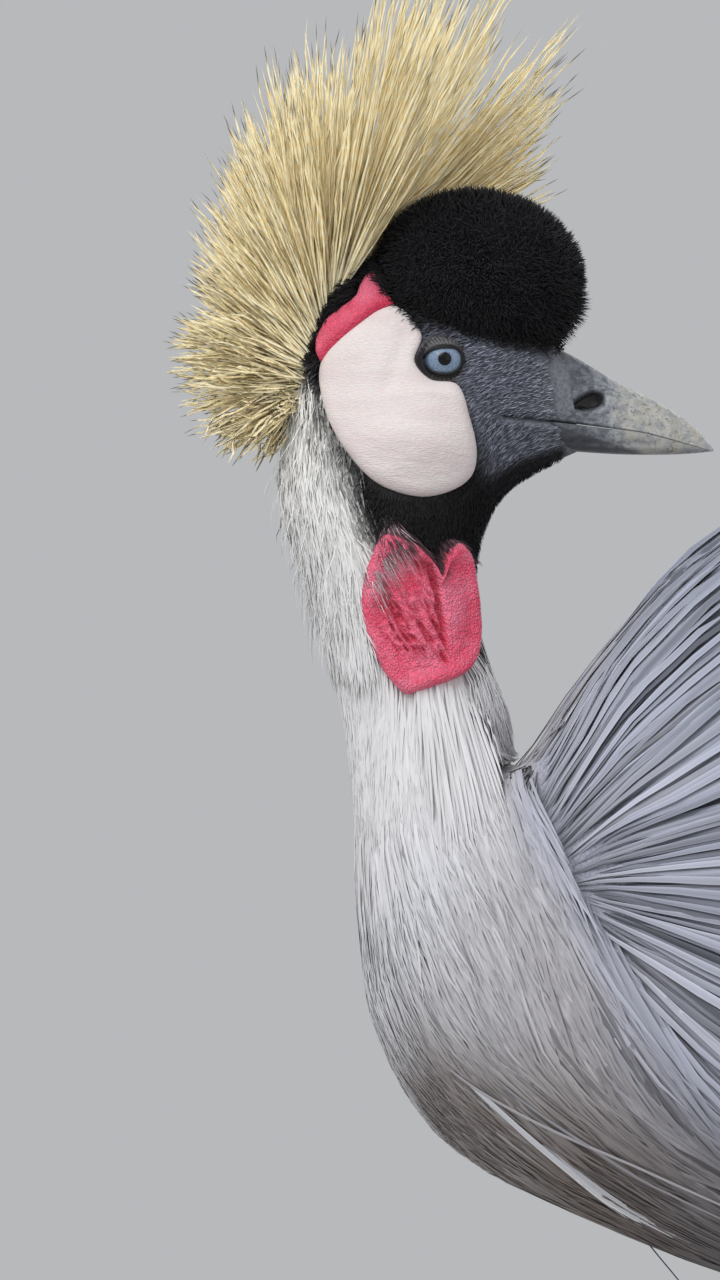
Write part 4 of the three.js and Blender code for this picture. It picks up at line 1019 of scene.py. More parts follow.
def cheekHeight(x, z):
    # A lobe below, a fold down from the eye, a ridge across and fine creases
    lobe = 4.6 * np.exp(-((x + 161) / 19) ** 2 - ((z - 702) / 13.5) ** 2)
    fold = -0.7 * smooth(z, 716, 722) * smooth(z, 748, 738)
    fold = fold * np.exp(-((x + 168 - 0.35 * (z - 730)) / 3.4) ** 2)
    ridge = 0.7 * np.exp(-((z - 718.5 + 0.1 * (x + 152)) / 2.4) ** 2) * smooth(x, -166, -156)
    creases = 0.1 * spotNoise(onSheet(x * 0.3, (z + 0.2 * x) * 1.4), 1.6, 14) * smooth(z, 714, 700)
    return 2.0 + lobe + fold + ridge + creases + 0.12 * spotNoise(onSheet(x, z), 6, 3)


def roseHeight(x, z):
    # Higher at the top, with broad and fine lumps
    p = onSheet(x, z)
    return 2.7 + 0.8 * smooth(z, 748, 758) + 0.35 * spotNoise(p, 5, 5) + 0.25 * spotNoise(p, 2.2, 6)


whiteSkin = bareSkinMaterial("whiteCheekSkin", rgba(238, 230, 228), rgba(226, 213, 213), rgba(250, 247, 246),
                             pebble=1300.0, crease=420.0, relief=0.34, roughness=0.5, subsurface=0.2,
                             lines=(0.42, 1, 1.7), lean=0.16)
roseSkin = bareSkinMaterial("rosePatchSkin", rgba(252, 132, 160), rgba(238, 92, 124), rgba(255, 214, 220),
                            pebble=1250.0, crease=300.0, relief=0.8, roughness=0.5, subsurface=0.15,
                            hollow=rgba(206, 36, 76))
for side, word in ((-1, "right"), (1, "left")):
    facePlate("cheek" + word.title(), cheekOutline, (-174, 713), side, cheekHeight, 4.5, whiteSkin,
              "skin_white", ("cheek_" + word,), rings=44, around=160)
    facePlate("rosePatch" + word.title(), roseOutline, (-184, 746), side, roseHeight, 3.0, roseSkin,
              "skin_rose", ("rose_patch_" + word,), rings=24, around=110, deepAt=roseDeep)
print("face plates ready")


# Eyes
eyeLook = {
    "openingAt": [(-7.4, -0.6), (-5.4, 2.2), (-2.4, 3.4), (0.6, 3.7), (3.5, 3.4), (5.3, 1.8), (5.7, -0.6),
                  (5.0, -2.7), (2.5, -4.5), (-0.9, -4.8), (-3.9, -4.2), (-5.9, -2.7)],
    "ringAt": [(-10.4, -1.0), (-9.6, 2.8), (-7.4, 6.6), (-4.4, 8.3), (-0.4, 8.6), (4.0, 7.3), (7.5, 3.8), (8.7, -0.2),
               (7.6, -4.1), (5.0, -6.7), (1.0, -8.4), (-3.4, -7.8), (-7.4, -6.0), (-9.4, -3.6)],
    "wrinkles": 37,
    # The lid's stops: share from the outer to the inner outline, mm outward, share of the face
    # skin rather than of the ball in what it is measured from
    "lid": [(-0.25, -2.5, 1), (-0.08, -0.2, 1), (0.06, 0.7, 1), (0.22, 1.25, 0.8), (0.38, 1.1, 0.55),
            (0.5, 0.55, 0.4), (0.58, 0.6, 0.3), (0.7, 1.15, 0.12), (0.84, 1.35, 0.0), (0.95, 1.1, 0.0),
            (1.0, 0.65, 0.0), (1.03, 0.1, 0.0), (1.06, -1.2, 0.0), (0.6, -3.5, 0.0), (0.1, -4.5, 0.6)],
    "lidGrid": (40, 260),
}


def eyeMaterial():
    # Rings by the distance from the eye's axis, which the map carries as its radius
    made, tree, shader = newMaterial("paleIris", {"Roughness": 0.25, "Coat Weight": 0.35, "Coat Roughness": 0.02,
                                                  "Specular IOR Level": 0.15})
    centred = node(tree, "ShaderNodeVectorMath", {0: mapOf(tree, "disc"), 1: (0.5, 0.5, 0)},
                   operation="SUBTRACT").outputs[0]
    radius = node(tree, "ShaderNodeVectorMath", {0: centred}, operation="LENGTH").outputs["Value"]
    rays = noise(tree, centred, 34.0, 4.0, 0.7)
    iris = blend(tree, between(tree, rays, 0.35, 0.65), rgba(104, 124, 148), rgba(146, 166, 190))
    inner = between(tree, radius, 0.11, 0.17, 1.0, 0.0)
    iris = blend(tree, times(tree, inner, 0.5), iris, rgba(92, 110, 136))
    outer = between(tree, radius, 0.25, 0.33)
    iris = blend(tree, outer, iris, rgba(72, 86, 110))
    iris = blend(tree, between(tree, radius, 0.34, 0.39), iris, rgba(20, 22, 28))
    pupil = between(tree, radius, 0.106, 0.118)
    shade = blend(tree, pupil, rgba(1, 1, 2), iris)
    tree.links.new(shade, shader.inputs["Base Color"])
    return made


def makeEye(side, material, nodeName):
    # A ball with its pole on the eye's axis; the disc map holds each point's distance from it
    ex, ey, ez = bird["eye"]
    r = bird["eyeRadius"]
    p, t = np.meshgrid(np.linspace(0.02, math.pi - 0.02, 60), roundTurn(64), indexing="ij")
    bulge = 1 + 0.035 * np.exp(-(p / 0.5) ** 2)
    x = ex + r * bulge * np.sin(p) * np.cos(t)
    z = ez + r * bulge * np.sin(p) * np.sin(t)
    y = side * (ey + r * bulge * np.cos(p))
    points, quads, tris = closedLoft(np.stack([x, y, z], -1))
    reach = np.minimum(r * np.sin(p) * (p < 1.5) + 9 * (p >= 1.5), 9) / 20
    disc = np.stack([0.5 + reach * np.cos(t), 0.5 + reach * np.sin(t)], -1).reshape(-1, 2)
    disc = np.vstack([disc, [[0.5, 0.5]], [[0.9, 0.5]]])
    addPiece("eye" + ("Right" if side < 0 else "Left"), points, quads, tris, "eye", (nodeName,), material,
             uvMaps={"disc": disc})


def lidMaterial():
    # The mesh carries the colours of the lid's folds, with painted highlights and shade on the wrinkles, and of its
    # rim
    made, tree, shader = newMaterial("darkLidSkin", {"Roughness": 0.48})
    fine = noise(tree, objectPlace(tree), 1500.0, 3.0, 0.65)
    shade = scaled(tree, attribute(tree, "plumage"), between(tree, fine, 0.3, 0.7, 0.6, 1.3))
    paint(made, shade, fine, 0.6, 0.0005)
    return made


def makeLids(side, material):
    # A closed ring round the eye: from under the face skin, over a swell and a crease, to a rim
    # on the ball and back beneath
    ex, ey, ez = bird["eye"]
    rows, around = eyeLook["lidGrid"]
    outer, inner = loopOf(eyeLook["ringAt"], around), loopOf(eyeLook["openingAt"], around)
    stops = curveAt(eyeLook["lid"], np.linspace(0, 1, rows), even=False)
    share = stops[:, 0][:, None, None]
    flat = outer + (inner - outer) * share
    x, z = ex + flat[..., 0], ez + flat[..., 1]
    station, angle = findOnSide(x, z)
    skin, _ = surfaceAt(station, angle, skinRaise(station, angle))
    away = np.hypot(flat[..., 0], flat[..., 1])
    ball = ey + np.sqrt(np.maximum(bird["eyeRadius"] ** 2 - away ** 2, 4))
    weight = stops[:, 2][:, None]
    t = roundTurn(around)
    beat = np.sin(t * eyeLook["wrinkles"] + 2.2 * np.sin(t * 3) + 1.5 * np.sin(t * 5))
    folds = beat * np.exp(-((stops[:, 0] - 0.42) / 0.26) ** 2)[:, None]
    wrinkle = 0.16 * folds
    y = mix(ball, -skin[..., 1], weight) + stops[:, 1][:, None] + wrinkle
    over = ((stops[:, 0] > 0.15) & (stops[:, 0] < 0.97) & (stops[:, 1] > 0))[:, None]
    y = np.where(over & (away < bird["eyeRadius"]), np.maximum(y, ball + 0.4 + 0.3 * wrinkle), y)
    rim = smooth(stops[:, 0], 0.68, 0.8)[:, None, None]
    above = (smooth(flat[..., 1], 0, 4) * smooth(flat[..., 0], 7, 2))[..., None]
    # Lighter on the wrinkles' crests and darker between them: painted highlight and painted shade
    dark = mix(colour(34, 32, 34), colour(92, 86, 86), np.clip(0.4 + 0.3 * folds, 0, 1)[..., None])
    pale = mix(colour(62, 61, 65), colour(140, 137, 140), np.clip(0.5 + 0.35 * folds, 0, 1)[..., None])
    shade = mix(mix(dark, pale, 0.8 * above), colour(15, 14, 16), rim)
    shade = mix(shade, colour(40, 40, 44), smooth(stops[:, 0], 0.16, 0.02)[:, None, None])
    points = np.stack([x, side * y, z], -1).reshape(-1, 3)
    quads = gridFaces(rows, around, closedRows=True)
    addPiece("lids" + ("Right" if side < 0 else "Left"), points, quads, None, "velvet_black", (), material,
             shade.reshape(-1, 3))


irisGloss = eyeMaterial()
lidSkin = lidMaterial()
for side, word in ((-1, "right"), (1, "left")):
    makeEye(side, irisGloss, "eye_" + word)
    makeLids(side, lidSkin)
print("eyes ready")


# Bill
culmenLine = np.array([(-120, 737), (-109.7, 732.8), (-92.6, 722.9), (-73.2, 712.7), (-64, 705.6), (-59.2, 699.8)],
                      float)
keelLine = np.array([(-116, 699.5), (-104.7, 698.6), (-91, 697.8), (-75, 697.7), (-65.5, 698.2), (-59.2, 698.9)],
                    float)
bill = {
    "widthAtBase": 9.6,
    "nostril": (-102.9, 715.6),
    "nostrilSize": (6.6, 2.9),
    "nostrilTilt": 0.28,
    "nostrilDepth": 4.6,
}


def billTrack(u):
    # Keel, culmen and half width along the bill; u is 0 inside the face and 1 at the tip
    low = curveAt(keelLine, u, even=False)
    top = curveAt(culmenLine, u, even=False)
    v = np.clip((u - 0.2) / 0.8, 0, 1)
    wide = bill["widthAtBase"] * (1 - v) ** 0.8 + 0.9 * v + 11 * np.maximum(0.2 - u, 0)
    return low, top, wide - 1.6 * smooth(u, 0.05, 0.0)


def billSide(u, share):
    # The side of the bill at a share of its height from keel to culmen
    low, top, wide = billTrack(u)
    c = 2 * share - 1
    swell = np.sqrt(np.clip(1 - c * c, 0, 1)) ** 0.8
    place = low + (top - low) * share[..., None]
    return place[..., 0], place[..., 1], swell * wide * (1 - 0.18 * c)


def mouthShare(u):
    # Share of the bill's height at which the mouth line runs, found in four rounds
    low, top, _ = billTrack(u)
    line = curveAt(mouthLine, np.linspace(0, 1, 200), even=False)
    share = np.full(u.shape, 0.4)
    for _ in range(4):
        x = low[:, 0] + (top[:, 0] - low[:, 0]) * share
        z = np.interp(x, line[:, 0], line[:, 1])
        share = np.clip((z - low[:, 1]) / np.maximum(top[:, 1] - low[:, 1], 0.4), 0.03, 0.97)
    return share


def nostrilAway(x, z):
    # Distance from the nostril, 1 on the rim of its tilted oval, which widens to the front
    nx, nz = bill["nostril"]
    c, s = math.cos(bill["nostrilTilt"]), math.sin(bill["nostrilTilt"])
    u = ((x - nx) * c + (z - nz) * s) / bill["nostrilSize"][0]
    v = (-(x - nx) * s + (z - nz) * c) / (bill["nostrilSize"][1] * (1 + 0.5 * np.clip(u, -1.2, 1)))
    return np.hypot(u, v)


def billRelief(x, z, upper):
    # Nostril, the groove it lies in, and low ridges
    p = onSheet(x, z)
    relief = 0.12 * spotNoise(p, 3.0, 8) + 0.08 * spotNoise(p, 1.2, 9)
    if upper:
        away = nostrilAway(x, z)
        relief = relief - bill["nostrilDepth"] * (1 - smooth(away, 0.72, 1.04))
        relief = relief + (0.35 + 0.45 * smooth(x, -103, -96)) * np.exp(-((away - 1.35) / 0.25) ** 2)
        groove = smooth(x, -119, -108) * (1 - smooth(x, -96, -84))
        relief = relief - 0.7 * groove * np.exp(-((z - 716 - 0.1 * (x + 102)) / 4.5) ** 2)
    else:
        relief = relief - 0.45 * np.exp(-((z - 701.5 + 0.02 * (x + 90)) / 1.1) ** 2) * (1 - smooth(x, -84, -72))
    return relief


def makeBillHalf(name, upper, material):
    # Rings of two sides and an inner face, between the mouth line and the culmen or the keel
    u = np.concatenate([np.linspace(0, 0.55, 110, endpoint=False), np.linspace(0.55, 1, 60)])
    edge = mouthShare(u)
    gap = 0.008
    turn = np.sin(np.linspace(0, math.pi / 2, 44))
    if upper:
        share = edge[:, None] + gap + (1 - edge[:, None] - gap) * turn
    else:
        share = (edge[:, None] - gap) * (1 - turn)
    x, z, half = billSide(np.broadcast_to(u[:, None], share.shape), share)
    relief = billRelief(x, z, upper) * np.minimum(1, half / 2.0)
    half = np.maximum(half + relief, 0.0)
    if upper:
        half = half + 0.25 * np.exp(-((share - edge[:, None]) / 0.05) ** 2)
    near = np.stack([x, -half, z], -1)
    far = np.stack([x, half, z], -1)[:, ::-1][:, 1:]
    inner = np.linspace(0, 1, 12)[1:-1]
    first, last = far[:, -1:], near[:, :1]
    lining = first + (last - first) * inner[None, :, None]
    arch = np.sin(inner * math.pi) * (1 if upper else -1)
    room = np.abs(z[:, -1] - z[:, 0])[:, None]
    lining[..., 2] += arch * 0.3 * room
    rings = np.concatenate([near, far, lining], 1)
    points, quads, tris = closedLoft(rings)
    # The nostril's inside is marked in the tone for painted shade in the material
    hollow = 1 - smooth(nostrilAway(points[:, 0], points[:, 2]), 0.7, 1.0) if upper else np.zeros(len(points))
    addPiece(name, points, quads, tris, "horn", (("bill_upper",) if upper else ("bill_lower",)), material,
             tone=hollow)


def hornMaterial():
    # Dark at the face, grey in the middle and pale at the tip, by the distance along X, with
    # mottling, flecks, a little ochre, a darker lower half and painted shade inside the nostril
    made, tree, shader = newMaterial("greyHorn", {"Roughness": 0.42})
    place = objectPlace(tree)
    x, _, z = partsOf(tree, place)
    at = lambda mm: (mm + shiftX) * 0.001
    towardTip = between(tree, x, at(-104), at(-80))
    broad = noise(tree, place, 120.0, 5.0, 0.65, 0.6)
    fine = noise(tree, place, 700.0, 4.0, 0.7)
    streaks = noise(tree, stretched(tree, place, (0.35, 1, 1.4), (0, 0.5, 0)), 900.0, 3.0, 0.6)
    mottle = noise(tree, place, 330.0, 4.0, 0.6, 0.4)
    back = blend(tree, between(tree, mottle, 0.38, 0.68), rgba(66, 70, 79), rgba(112, 116, 124))
    mid = blend(tree, between(tree, mottle, 0.36, 0.64), rgba(108, 114, 122), rgba(158, 162, 167))
    base = blend(tree, between(tree, x, at(-106), at(-92)), back, mid)
    ochre = between(tree, noise(tree, place, 210.0, 3.0, 0.6), 0.45, 0.62)
    tip = blend(tree, between(tree, mottle, 0.3, 0.7), rgba(142, 146, 150), rgba(184, 182, 175))
    tip = blend(tree, times(tree, ochre, 0.25), tip, rgba(178, 166, 136))
    tip = blend(tree, between(tree, x, at(-64), at(-57)), tip, rgba(176, 182, 190))
    reach = plus(tree, towardTip, times(tree, minus(tree, broad, 0.5), 0.9))
    shade = blend(tree, between(tree, reach, 0.25, 0.8), base, tip)
    shade = blend(tree, times(tree, between(tree, fine, 0.52, 0.66), 0.6), shade, rgba(62, 64, 68))
    shade = blend(tree, times(tree, between(tree, streaks, 0.55, 0.75), 0.35), shade, rgba(198, 198, 196))
    face = between(tree, x, at(-118), at(-104), 1.0, 0.0)
    skin = blend(tree, between(tree, fine, 0.4, 0.62), rgba(62, 65, 72), rgba(108, 111, 117))
    shade = blend(tree, face, shade, skin)
    gape = plus(tree, z, times(tree, x, 0.32))
    jawTop = (708.3 + 0.32 * (-104 + shiftX)) * 0.001
    jaw = times(tree, between(tree, gape, jawTop - 0.0045, jawTop - 0.003, 1.0, 0.0),
                between(tree, x, at(-80), at(-64), 0.8, 0.15))
    shade = blend(tree, jaw, shade, rgba(58, 61, 67))
    # Painted shade inside the nostril, where the mesh's tone says
    shade = blend(tree, attribute(tree, "tone", "Fac"), shade, rgba(14, 12, 11))
    tree.links.new(between(tree, fine, 0.3, 0.7, 0.36, 0.55), shader.inputs["Roughness"])
    height = plus(tree, fine, times(tree, streaks, 0.8))
    paint(made, shade, height, 0.3, 0.0005)
    return made


horn = hornMaterial()
makeBillHalf("billUpper", True, horn)
makeBillHalf("billLower", False, horn)
print("bill ready")


# Wattle: a bare bib on the throat. Its outline is by the turn round the neck and by height
wattle = {
    "thick": 4.2,
    "middle": (22.0, 641.0),
    "outline": [(-6, 668), (-15, 660.5), (-22, 653.6), (-26, 646.7), (-27.6, 639), (-26, 632), (-22, 624),
                (-15.5, 618), (-10, 615.2), (0, 616), (17.5, 618.6), (31.6, 620.8), (45, 624.2), (57, 630),
                (63, 637.8), (63, 647), (61, 656), (59.5, 663), (53.5, 667), (46, 667), (39, 664), (34.6, 659.6),
                (31, 656.6), (27.4, 660.4), (20.2, 665.6), (11.3, 669), (1, 670.5)],
    "column": [(-159.5, 28, 610), (-165, 27, 635), (-169, 29.5, 657), (-173, 31, 676)],
}


def throatPoint(turn, z, raised):
    # A place round the throat's column by turn and height, pushed out by raised
    column = curveAt(wattle["column"], np.clip((z - 610) / 66, 0, 1))
    angle = np.radians(turn)
    x = column[..., 0] + (column[..., 1] + raised) * np.sin(angle)
    return np.stack([x, -(26 + raised) * np.cos(angle), z], -1)


def wattleRelief(turn, z):
    # A crease down the middle, gathered folds on one side of it and fine cross wrinkles
    arc = turn * 0.5
    down = 668 - z
    creaseAt = 10.5 + 0.2 * down - 0.003 * down ** 2
    crease = np.exp(-((arc - creaseAt) / 1.3) ** 2) * smooth(z, 626, 640)
    gathered = 1 - smooth(arc, creaseAt - 2, creaseAt + 2)
    p = onSheet(arc, z)
    across = arc - 0.36 * down + 0.9 * spotNoise(p, 6, 2)
    broad = 1 - 2.2 * np.abs(spotNoise(onSheet(across, z * 0.14), 2.3, 7))
    fine = 1 - 2.2 * np.abs(spotNoise(onSheet(across, z * 0.3), 1.1, 9))
    cross = spotNoise(onSheet(arc * 0.6 + 0.3 * z, z * 1.6), 2.6, 4)
    smoothLobe = 1 - gathered
    fade = smooth(z, 617, 634)
    return (gathered * (fade * (0.95 * broad + 0.75 * fine - 0.7) + 0.28 * cross) - 1.9 * crease + 0.3 * smoothLobe
            + 0.2 * cross * smoothLobe + 0.14 * spotNoise(p, 1.2, 6))


def makeWattle(material):
    # A pillow over the throat by shares of its outline, with an under face sunk in the neck
    outline = loopOf(wattle["outline"], 260)
    share = np.concatenate([np.linspace(0.01, 0.88, 110), 1 - 0.12 * np.cos(np.linspace(0, 1.57, 14))[1:]])
    middle = np.array(wattle["middle"])
    flat = middle + (outline - middle)[None] * share[:, None, None]
    turn, z = flat[..., 0], flat[..., 1]
    roll = smooth(share, 0.66, 0.86)
    height = wattle["thick"] * (0.62 + 0.42 * roll)
    rim = np.sqrt(np.clip(1 - np.clip((share - 0.88) / 0.12, 0, 1) ** 2, 0, 1))
    relief = wattleRelief(turn, z) * (1 - 0.6 * roll)[:, None]
    raised = (height[:, None] + relief) * rim[:, None] - 0.4
    top = throatPoint(turn, z, raised)
    under = throatPoint(turn[::-8], z[::-8], np.full(turn[::-8].shape, -3.0))
    points, quads, tris = closedLoft(np.concatenate([top, under]))
    # Painted shade in the creases, by their depth, for the material's hollow colour
    creaseShade = smooth(-relief, 0.1, 1.6) * rim[:, None] * 0.7
    creaseShade = np.concatenate([creaseShade.ravel(), np.zeros(len(points) - creaseShade.size)])
    addPiece("wattle", points, quads, tris, "skin_red", ("wattle",), material, tone=creaseShade)


# The wattle's hollow colour is painted shade in its creases
redSkin = bareSkinMaterial("redWattleSkin", rgba(255, 142, 172), rgba(238, 84, 116), rgba(255, 226, 230),
                           pebble=1150.0, crease=260.0, relief=0.9, roughness=0.4, subsurface=0.1,
                           hollow=rgba(186, 20, 52))
makeWattle(redSkin)
print("wattle ready")


# Cushion of plush on the forehead

def cushionPoint(way, grow):
    # The way out scaled to the three half sizes and turned a little about Y
    c, s = math.cos(bird["cushionTurn"]), math.sin(bird["cushionTurn"])
    size = np.array(bird["cushionSize"]) + np.asarray(grow)[..., None]
    p = way * size
    turned = np.stack([p[..., 0] * c + p[..., 2] * s, p[..., 1], -p[..., 0] * s + p[..., 2] * c], -1)
    return turned + np.array(bird["cushion"])


def velvetMaterial(name, base, tint, sheen):
    # The base lightened in spots by fine noise, which is the relief too
    made, tree, shader = newMaterial(name, {"Roughness": 0.85, "Sheen Weight": sheen, "Sheen Roughness": 0.35,
                                            "Sheen Tint": tint, "Specular IOR Level": 0.2})
    fine = noise(tree, objectPlace(tree), 1600.0, 3.0, 0.7)
    shade = blend(tree, between(tree, fine, 0.35, 0.7), base, rgba(34, 36, 46))
    paint(made, shade, fine, 0.8, 0.001)
    return made


cushion = {"depth": 3.4, "tufts": 12000, "length": 4.0, "width": 0.26}
velvet = velvetMaterial("blackVelvet", rgba(10, 10, 13), tint=rgba(120, 130, 160), sheen=0.12)


def makeCushion():
    # The ball that the tufts stand on, with low lumps
    way = ballWay(*np.meshgrid(np.linspace(0.02, math.pi - 0.02, 70), roundTurn(90), indexing="ij"))
    lumps = 0.5 * spotNoise(way * 30, 7, 3)
    points, quads, tris = closedLoft(cushionPoint(way, -cushion["depth"] + lumps))
    addPiece("cushionCore", points, quads, tris, "velvet_black", ("crown_cushion",), velvet)


plush = featherMaterial("cushionPlush", strands=3.0, streak=0.25, edge=0.1, root=0.5, variety=0.45, roughness=0.7,
                        relief=0.2, sheen=0.1, specular=0.25)


def makeCushionPlush():
    # Short tufts on an even spiral over the ball, leaning a little down and to random sides
    rng = np.random.default_rng(21)
    n = cushion["tufts"]
    k = np.arange(n) + 0.5
    polar, turn = np.arccos(1 - 2 * k / n), math.pi * (1 + 5 ** 0.5) * k
    way = ballWay(polar, turn)
    root = cushionPoint(way, -cushion["depth"] - 0.4)
    station, angle = findOnSide(np.clip(root[:, 0], -200, -100), root[:, 2])
    head = surfaceAt(station, angle)[0]
    over = np.hypot(head[:, 0] - root[:, 0], head[:, 2] - root[:, 2]) < 1.5
    inHead = (np.abs(root[:, 1]) < np.abs(head[:, 1]) - 1) & over
    root, way = root[~inHead], way[~inHead]
    n = len(root)
    out = unit(way / np.array(bird["cushionSize"]))
    clump = np.stack([spotNoise(root, 3.5, 31), spotNoise(root, 3.5, 32), spotNoise(root, 3.5, 33)], -1)
    lean = unit(out + 0.55 * clump + 0.28 * rng.normal(size=(n, 3)) + np.array([0.1, 0, -0.12]))
    corner = smooth(out @ unit(np.array([0.8, 0, -0.6])), 0.8, 0.97)
    length = cushion["length"] * (0.85 + 0.3 * rng.random(n)) * (1 + 0.9 * corner)
    share = np.array([0, 0.55, 1])
    curl = 0.25 * rng.normal(size=(n, 3))
    shaft = (root[:, None] + lean[:, None] * (length[:, None] * share)[..., None]
             + curl[:, None] * (share ** 2)[None, :, None])
    ways = unit(np.cross(lean, rng.normal(size=(n, 3))))
    wide = cushion["width"] * np.array([1.0, 0.8, 0])[None] * (0.7 + 0.6 * rng.random(n))[:, None]
    base = np.tile(plumage["black"], (n, 1)) * (0.45 + 0.5 * rng.random(n))[:, None]
    roots = np.stack([polar[~inHead] / math.pi, (turn[~inHead] / (2 * math.pi)) % 1], -1)
    tips = base * 1.9 + np.array([0.001, 0.0014, 0.003])
    vanePiece("cushionPlush", shaft, np.repeat(ways[:, None], 3, 1), wide, 0.3, roots, base, plush, "velvet_black",
              ("crown_cushion",), tips, seed=5)


makeCushion()
makeCushionPlush()
print("cushion ready")


# Crest of stiff bristles
crest = {
    "middle": (-187.0, 744.0),
    "rootStations": (2.85, 4.65),
    "rootSpread": (8, 15),  # degrees to each side of the crown, at the top and at the foot
    "turns": [26, 36, 45, 52, 60, 70, 80, 92, 101, 115, 125, 140, 150, 164, 180, 197, 217, 231, 243],
    "reach": [80, 94, 116, 138, 142, 138, 128, 110, 100, 84, 75, 66, 60, 57, 59, 63, 62, 59, 51],
    "count": 2050,
    "clumps": 330,
    "lean": 30.0,
    "thick": 0.44,
    "rows": 10,
    "straw": (colour(255, 231, 172), colour(255, 243, 208)),
}


def clearOfCushion(p, grow):
    # Points inside the cushion, grown by some mm, move out to its surface
    size = np.array(bird["cushionSize"]) + grow
    away = p - np.array(bird["cushion"])
    share = np.linalg.norm(away / size, axis=-1, keepdims=True)
    return np.where(share < 1, away / np.maximum(share, 1e-3) + np.array(bird["cushion"]), p)


def makeCrest(material):
    # Bristles in clumps that draw together toward their tips. Those that reach forward pass the
    # cushion on its far side
    rng = np.random.default_rng(31)
    n, m = crest["count"], crest["clumps"]
    clumpPlace, clumpSide = evenPlaces(m)
    clumpPlace, clumpSide = clumpPlace ** 0.92, 2 * clumpSide - 1
    clumpLong = 0.62 + 0.42 * rng.random(m) ** 0.7
    which = rng.integers(0, m, n)
    place = np.clip(clumpPlace[which] + 0.022 * rng.normal(size=n), 0, 1)
    side = clumpSide[which]
    turn = 27 + 214 * clumpPlace[which] + 1.4 * rng.normal(size=n)
    forward = 1 - smooth(turn, 50, 66)
    lean = mix(crest["lean"] * side, 23 + 9 * side, forward) + mix(1.8, 1.3, forward) * rng.normal(size=n)
    angle, leaning = np.radians(turn), np.radians(lean)
    reach = np.interp(turn, crest["turns"], crest["reach"]) / np.cos(np.radians(lean) * 0.8)
    reach = reach * clumpLong[which] * (0.84 + 0.2 * rng.random(n))
    reach = reach * np.where(rng.random(n) < 0.08, 1.08, 1)
    station = mix(*crest["rootStations"], place)
    apart = np.radians(mix(*crest["rootSpread"], smooth(station, 3.0, 4.2)))
    root = barePoint(station, -apart * (lean / crest["lean"] + 0.12 * rng.normal(size=n)))
    sunk = mix(1.5, 0.2, smooth(turn, 110, 160))[:, None]
    root = root - np.stack([np.cos(angle), 0 * angle, np.sin(angle)], -1) * sunk
    tip = np.stack([crest["middle"][0] + np.cos(angle) * np.cos(leaning) * reach, np.sin(leaning) * reach,
                    crest["middle"][1] + np.sin(angle) * np.cos(leaning) * reach], -1)
    rows = crest["rows"]
    t = np.linspace(0, 1, rows)
    bow = rng.normal(size=(n, 3)) * reach[:, None] * mix(0.015, 0.035, smooth(turn, 150, 215))[:, None]
    wave = rng.normal(size=(n, 3)) * 0.45
    swing = np.sin(t[None] * reach[:, None] / 4.2 + 6.28 * rng.random(n)[:, None]) * (0.3 + t)[None]
    sag = np.zeros((n, 3))
    sag[:, 2] = -reach * 0.07 * (np.cos(angle) < 0.0) * rng.random(n)
    line = (root[:, None] + (tip - root)[:, None] * t[None, :, None]
            + bow[:, None] * np.sin(t * math.pi)[None, :, None] + wave[:, None] * swing[..., None]
            + sag[:, None] * (t ** 2)[None, :, None])
    line = clearOfCushion(line, 2.0)
    along = unit(np.gradient(line, axis=1))
    start = rng.random(n)[:, None] * 6.28 + t[None] * (3.5 + 3 * rng.random(n)[:, None])
    one = unit(np.cross(along, np.array([0.1, 1.0, 0.2])))
    two = np.cross(along, one)
    out = one * np.cos(start)[..., None] + two * np.sin(start)[..., None]
    wide = crest["thick"] * np.interp(t, [0, 0.1, 0.6, 0.9, 1], [0.7, 1, 0.95, 0.7, 0])[None]
    wide = wide * (0.75 + 0.5 * rng.random(n))[:, None]
    roots = np.stack([place, 0.5 + lean / 90], -1)
    base = mix(*crest["straw"], rng.random(n)[:, None])
    lit = unit(np.stack([0.3 * np.cos(angle), 0 * angle, 0.3 * np.sin(angle) + 0.4], -1))
    vanePiece("crestBristles", line, out, wide, 0.6, roots, base, material, "crest_straw", ("crest",), seed=8,
              soft=0.3, lit=np.repeat(lit[:, None], rows, 1))


def bristleMaterial():
    # Straw with pale flanks and deeper gold bands that follow the twist, partly the bristle's own
    # pale and darker sides and partly painted highlight and shade of its turning faces; brown
    # flecks, and fine dark tips
    made, tree, shader = newMaterial("strawBristle", {
        "Roughness": 0.5, "Specular IOR Level": 0.25, "Subsurface Weight": 0.2,
        "Subsurface Radius": (1.0, 0.8, 0.45), "Subsurface Scale": 0.0003})
    base, tone = attribute(tree, "plumage"), attribute(tree, "tone", "Fac")
    xy = partsOf(tree, mapOf(tree, "vane"))
    place = node(tree, "ShaderNodeCombineXYZ", {0: times(tree, xy[0], 1.6),
                                                1: times(tree, xy[1], 9.0),
                                                2: times(tree, tone, 57.0)}).outputs[0]
    spots = noise(tree, place, 1.6, 3.0, 0.6)
    beat = plus(tree, times(tree, xy[1], 130.0),
                 plus(tree, times(tree, xy[0], 4.0), times(tree, tone, 90.0)))
    # The twist's bands: partly the bristle's own sides, partly painted highlight and painted shade
    twist = maths(tree, "SINE", beat)
    shade = blend(tree, between(tree, twist, -0.3, 0.9, 0.0, 0.7), base, rgba(255, 244, 206))
    shade = blend(tree, between(tree, twist, -0.98, -0.4, 0.35, 0.0), shade, rgba(236, 198, 128))
    shade = blend(tree, times(tree, between(tree, spots, 0.68, 0.76), 0.5), shade, rgba(150, 116, 68))
    root = between(tree, xy[1], 0.0, 0.3, 0.7, 0.0)
    shade = blend(tree, root, shade, rgba(255, 246, 214))
    dark = times(tree, between(tree, xy[1], 0.9, 0.97), between(tree, tone, 0.55, 0.7))
    shade = blend(tree, dark, shade, rgba(58, 44, 30))
    tree.links.new(shade, shader.inputs["Base Color"])
    return made


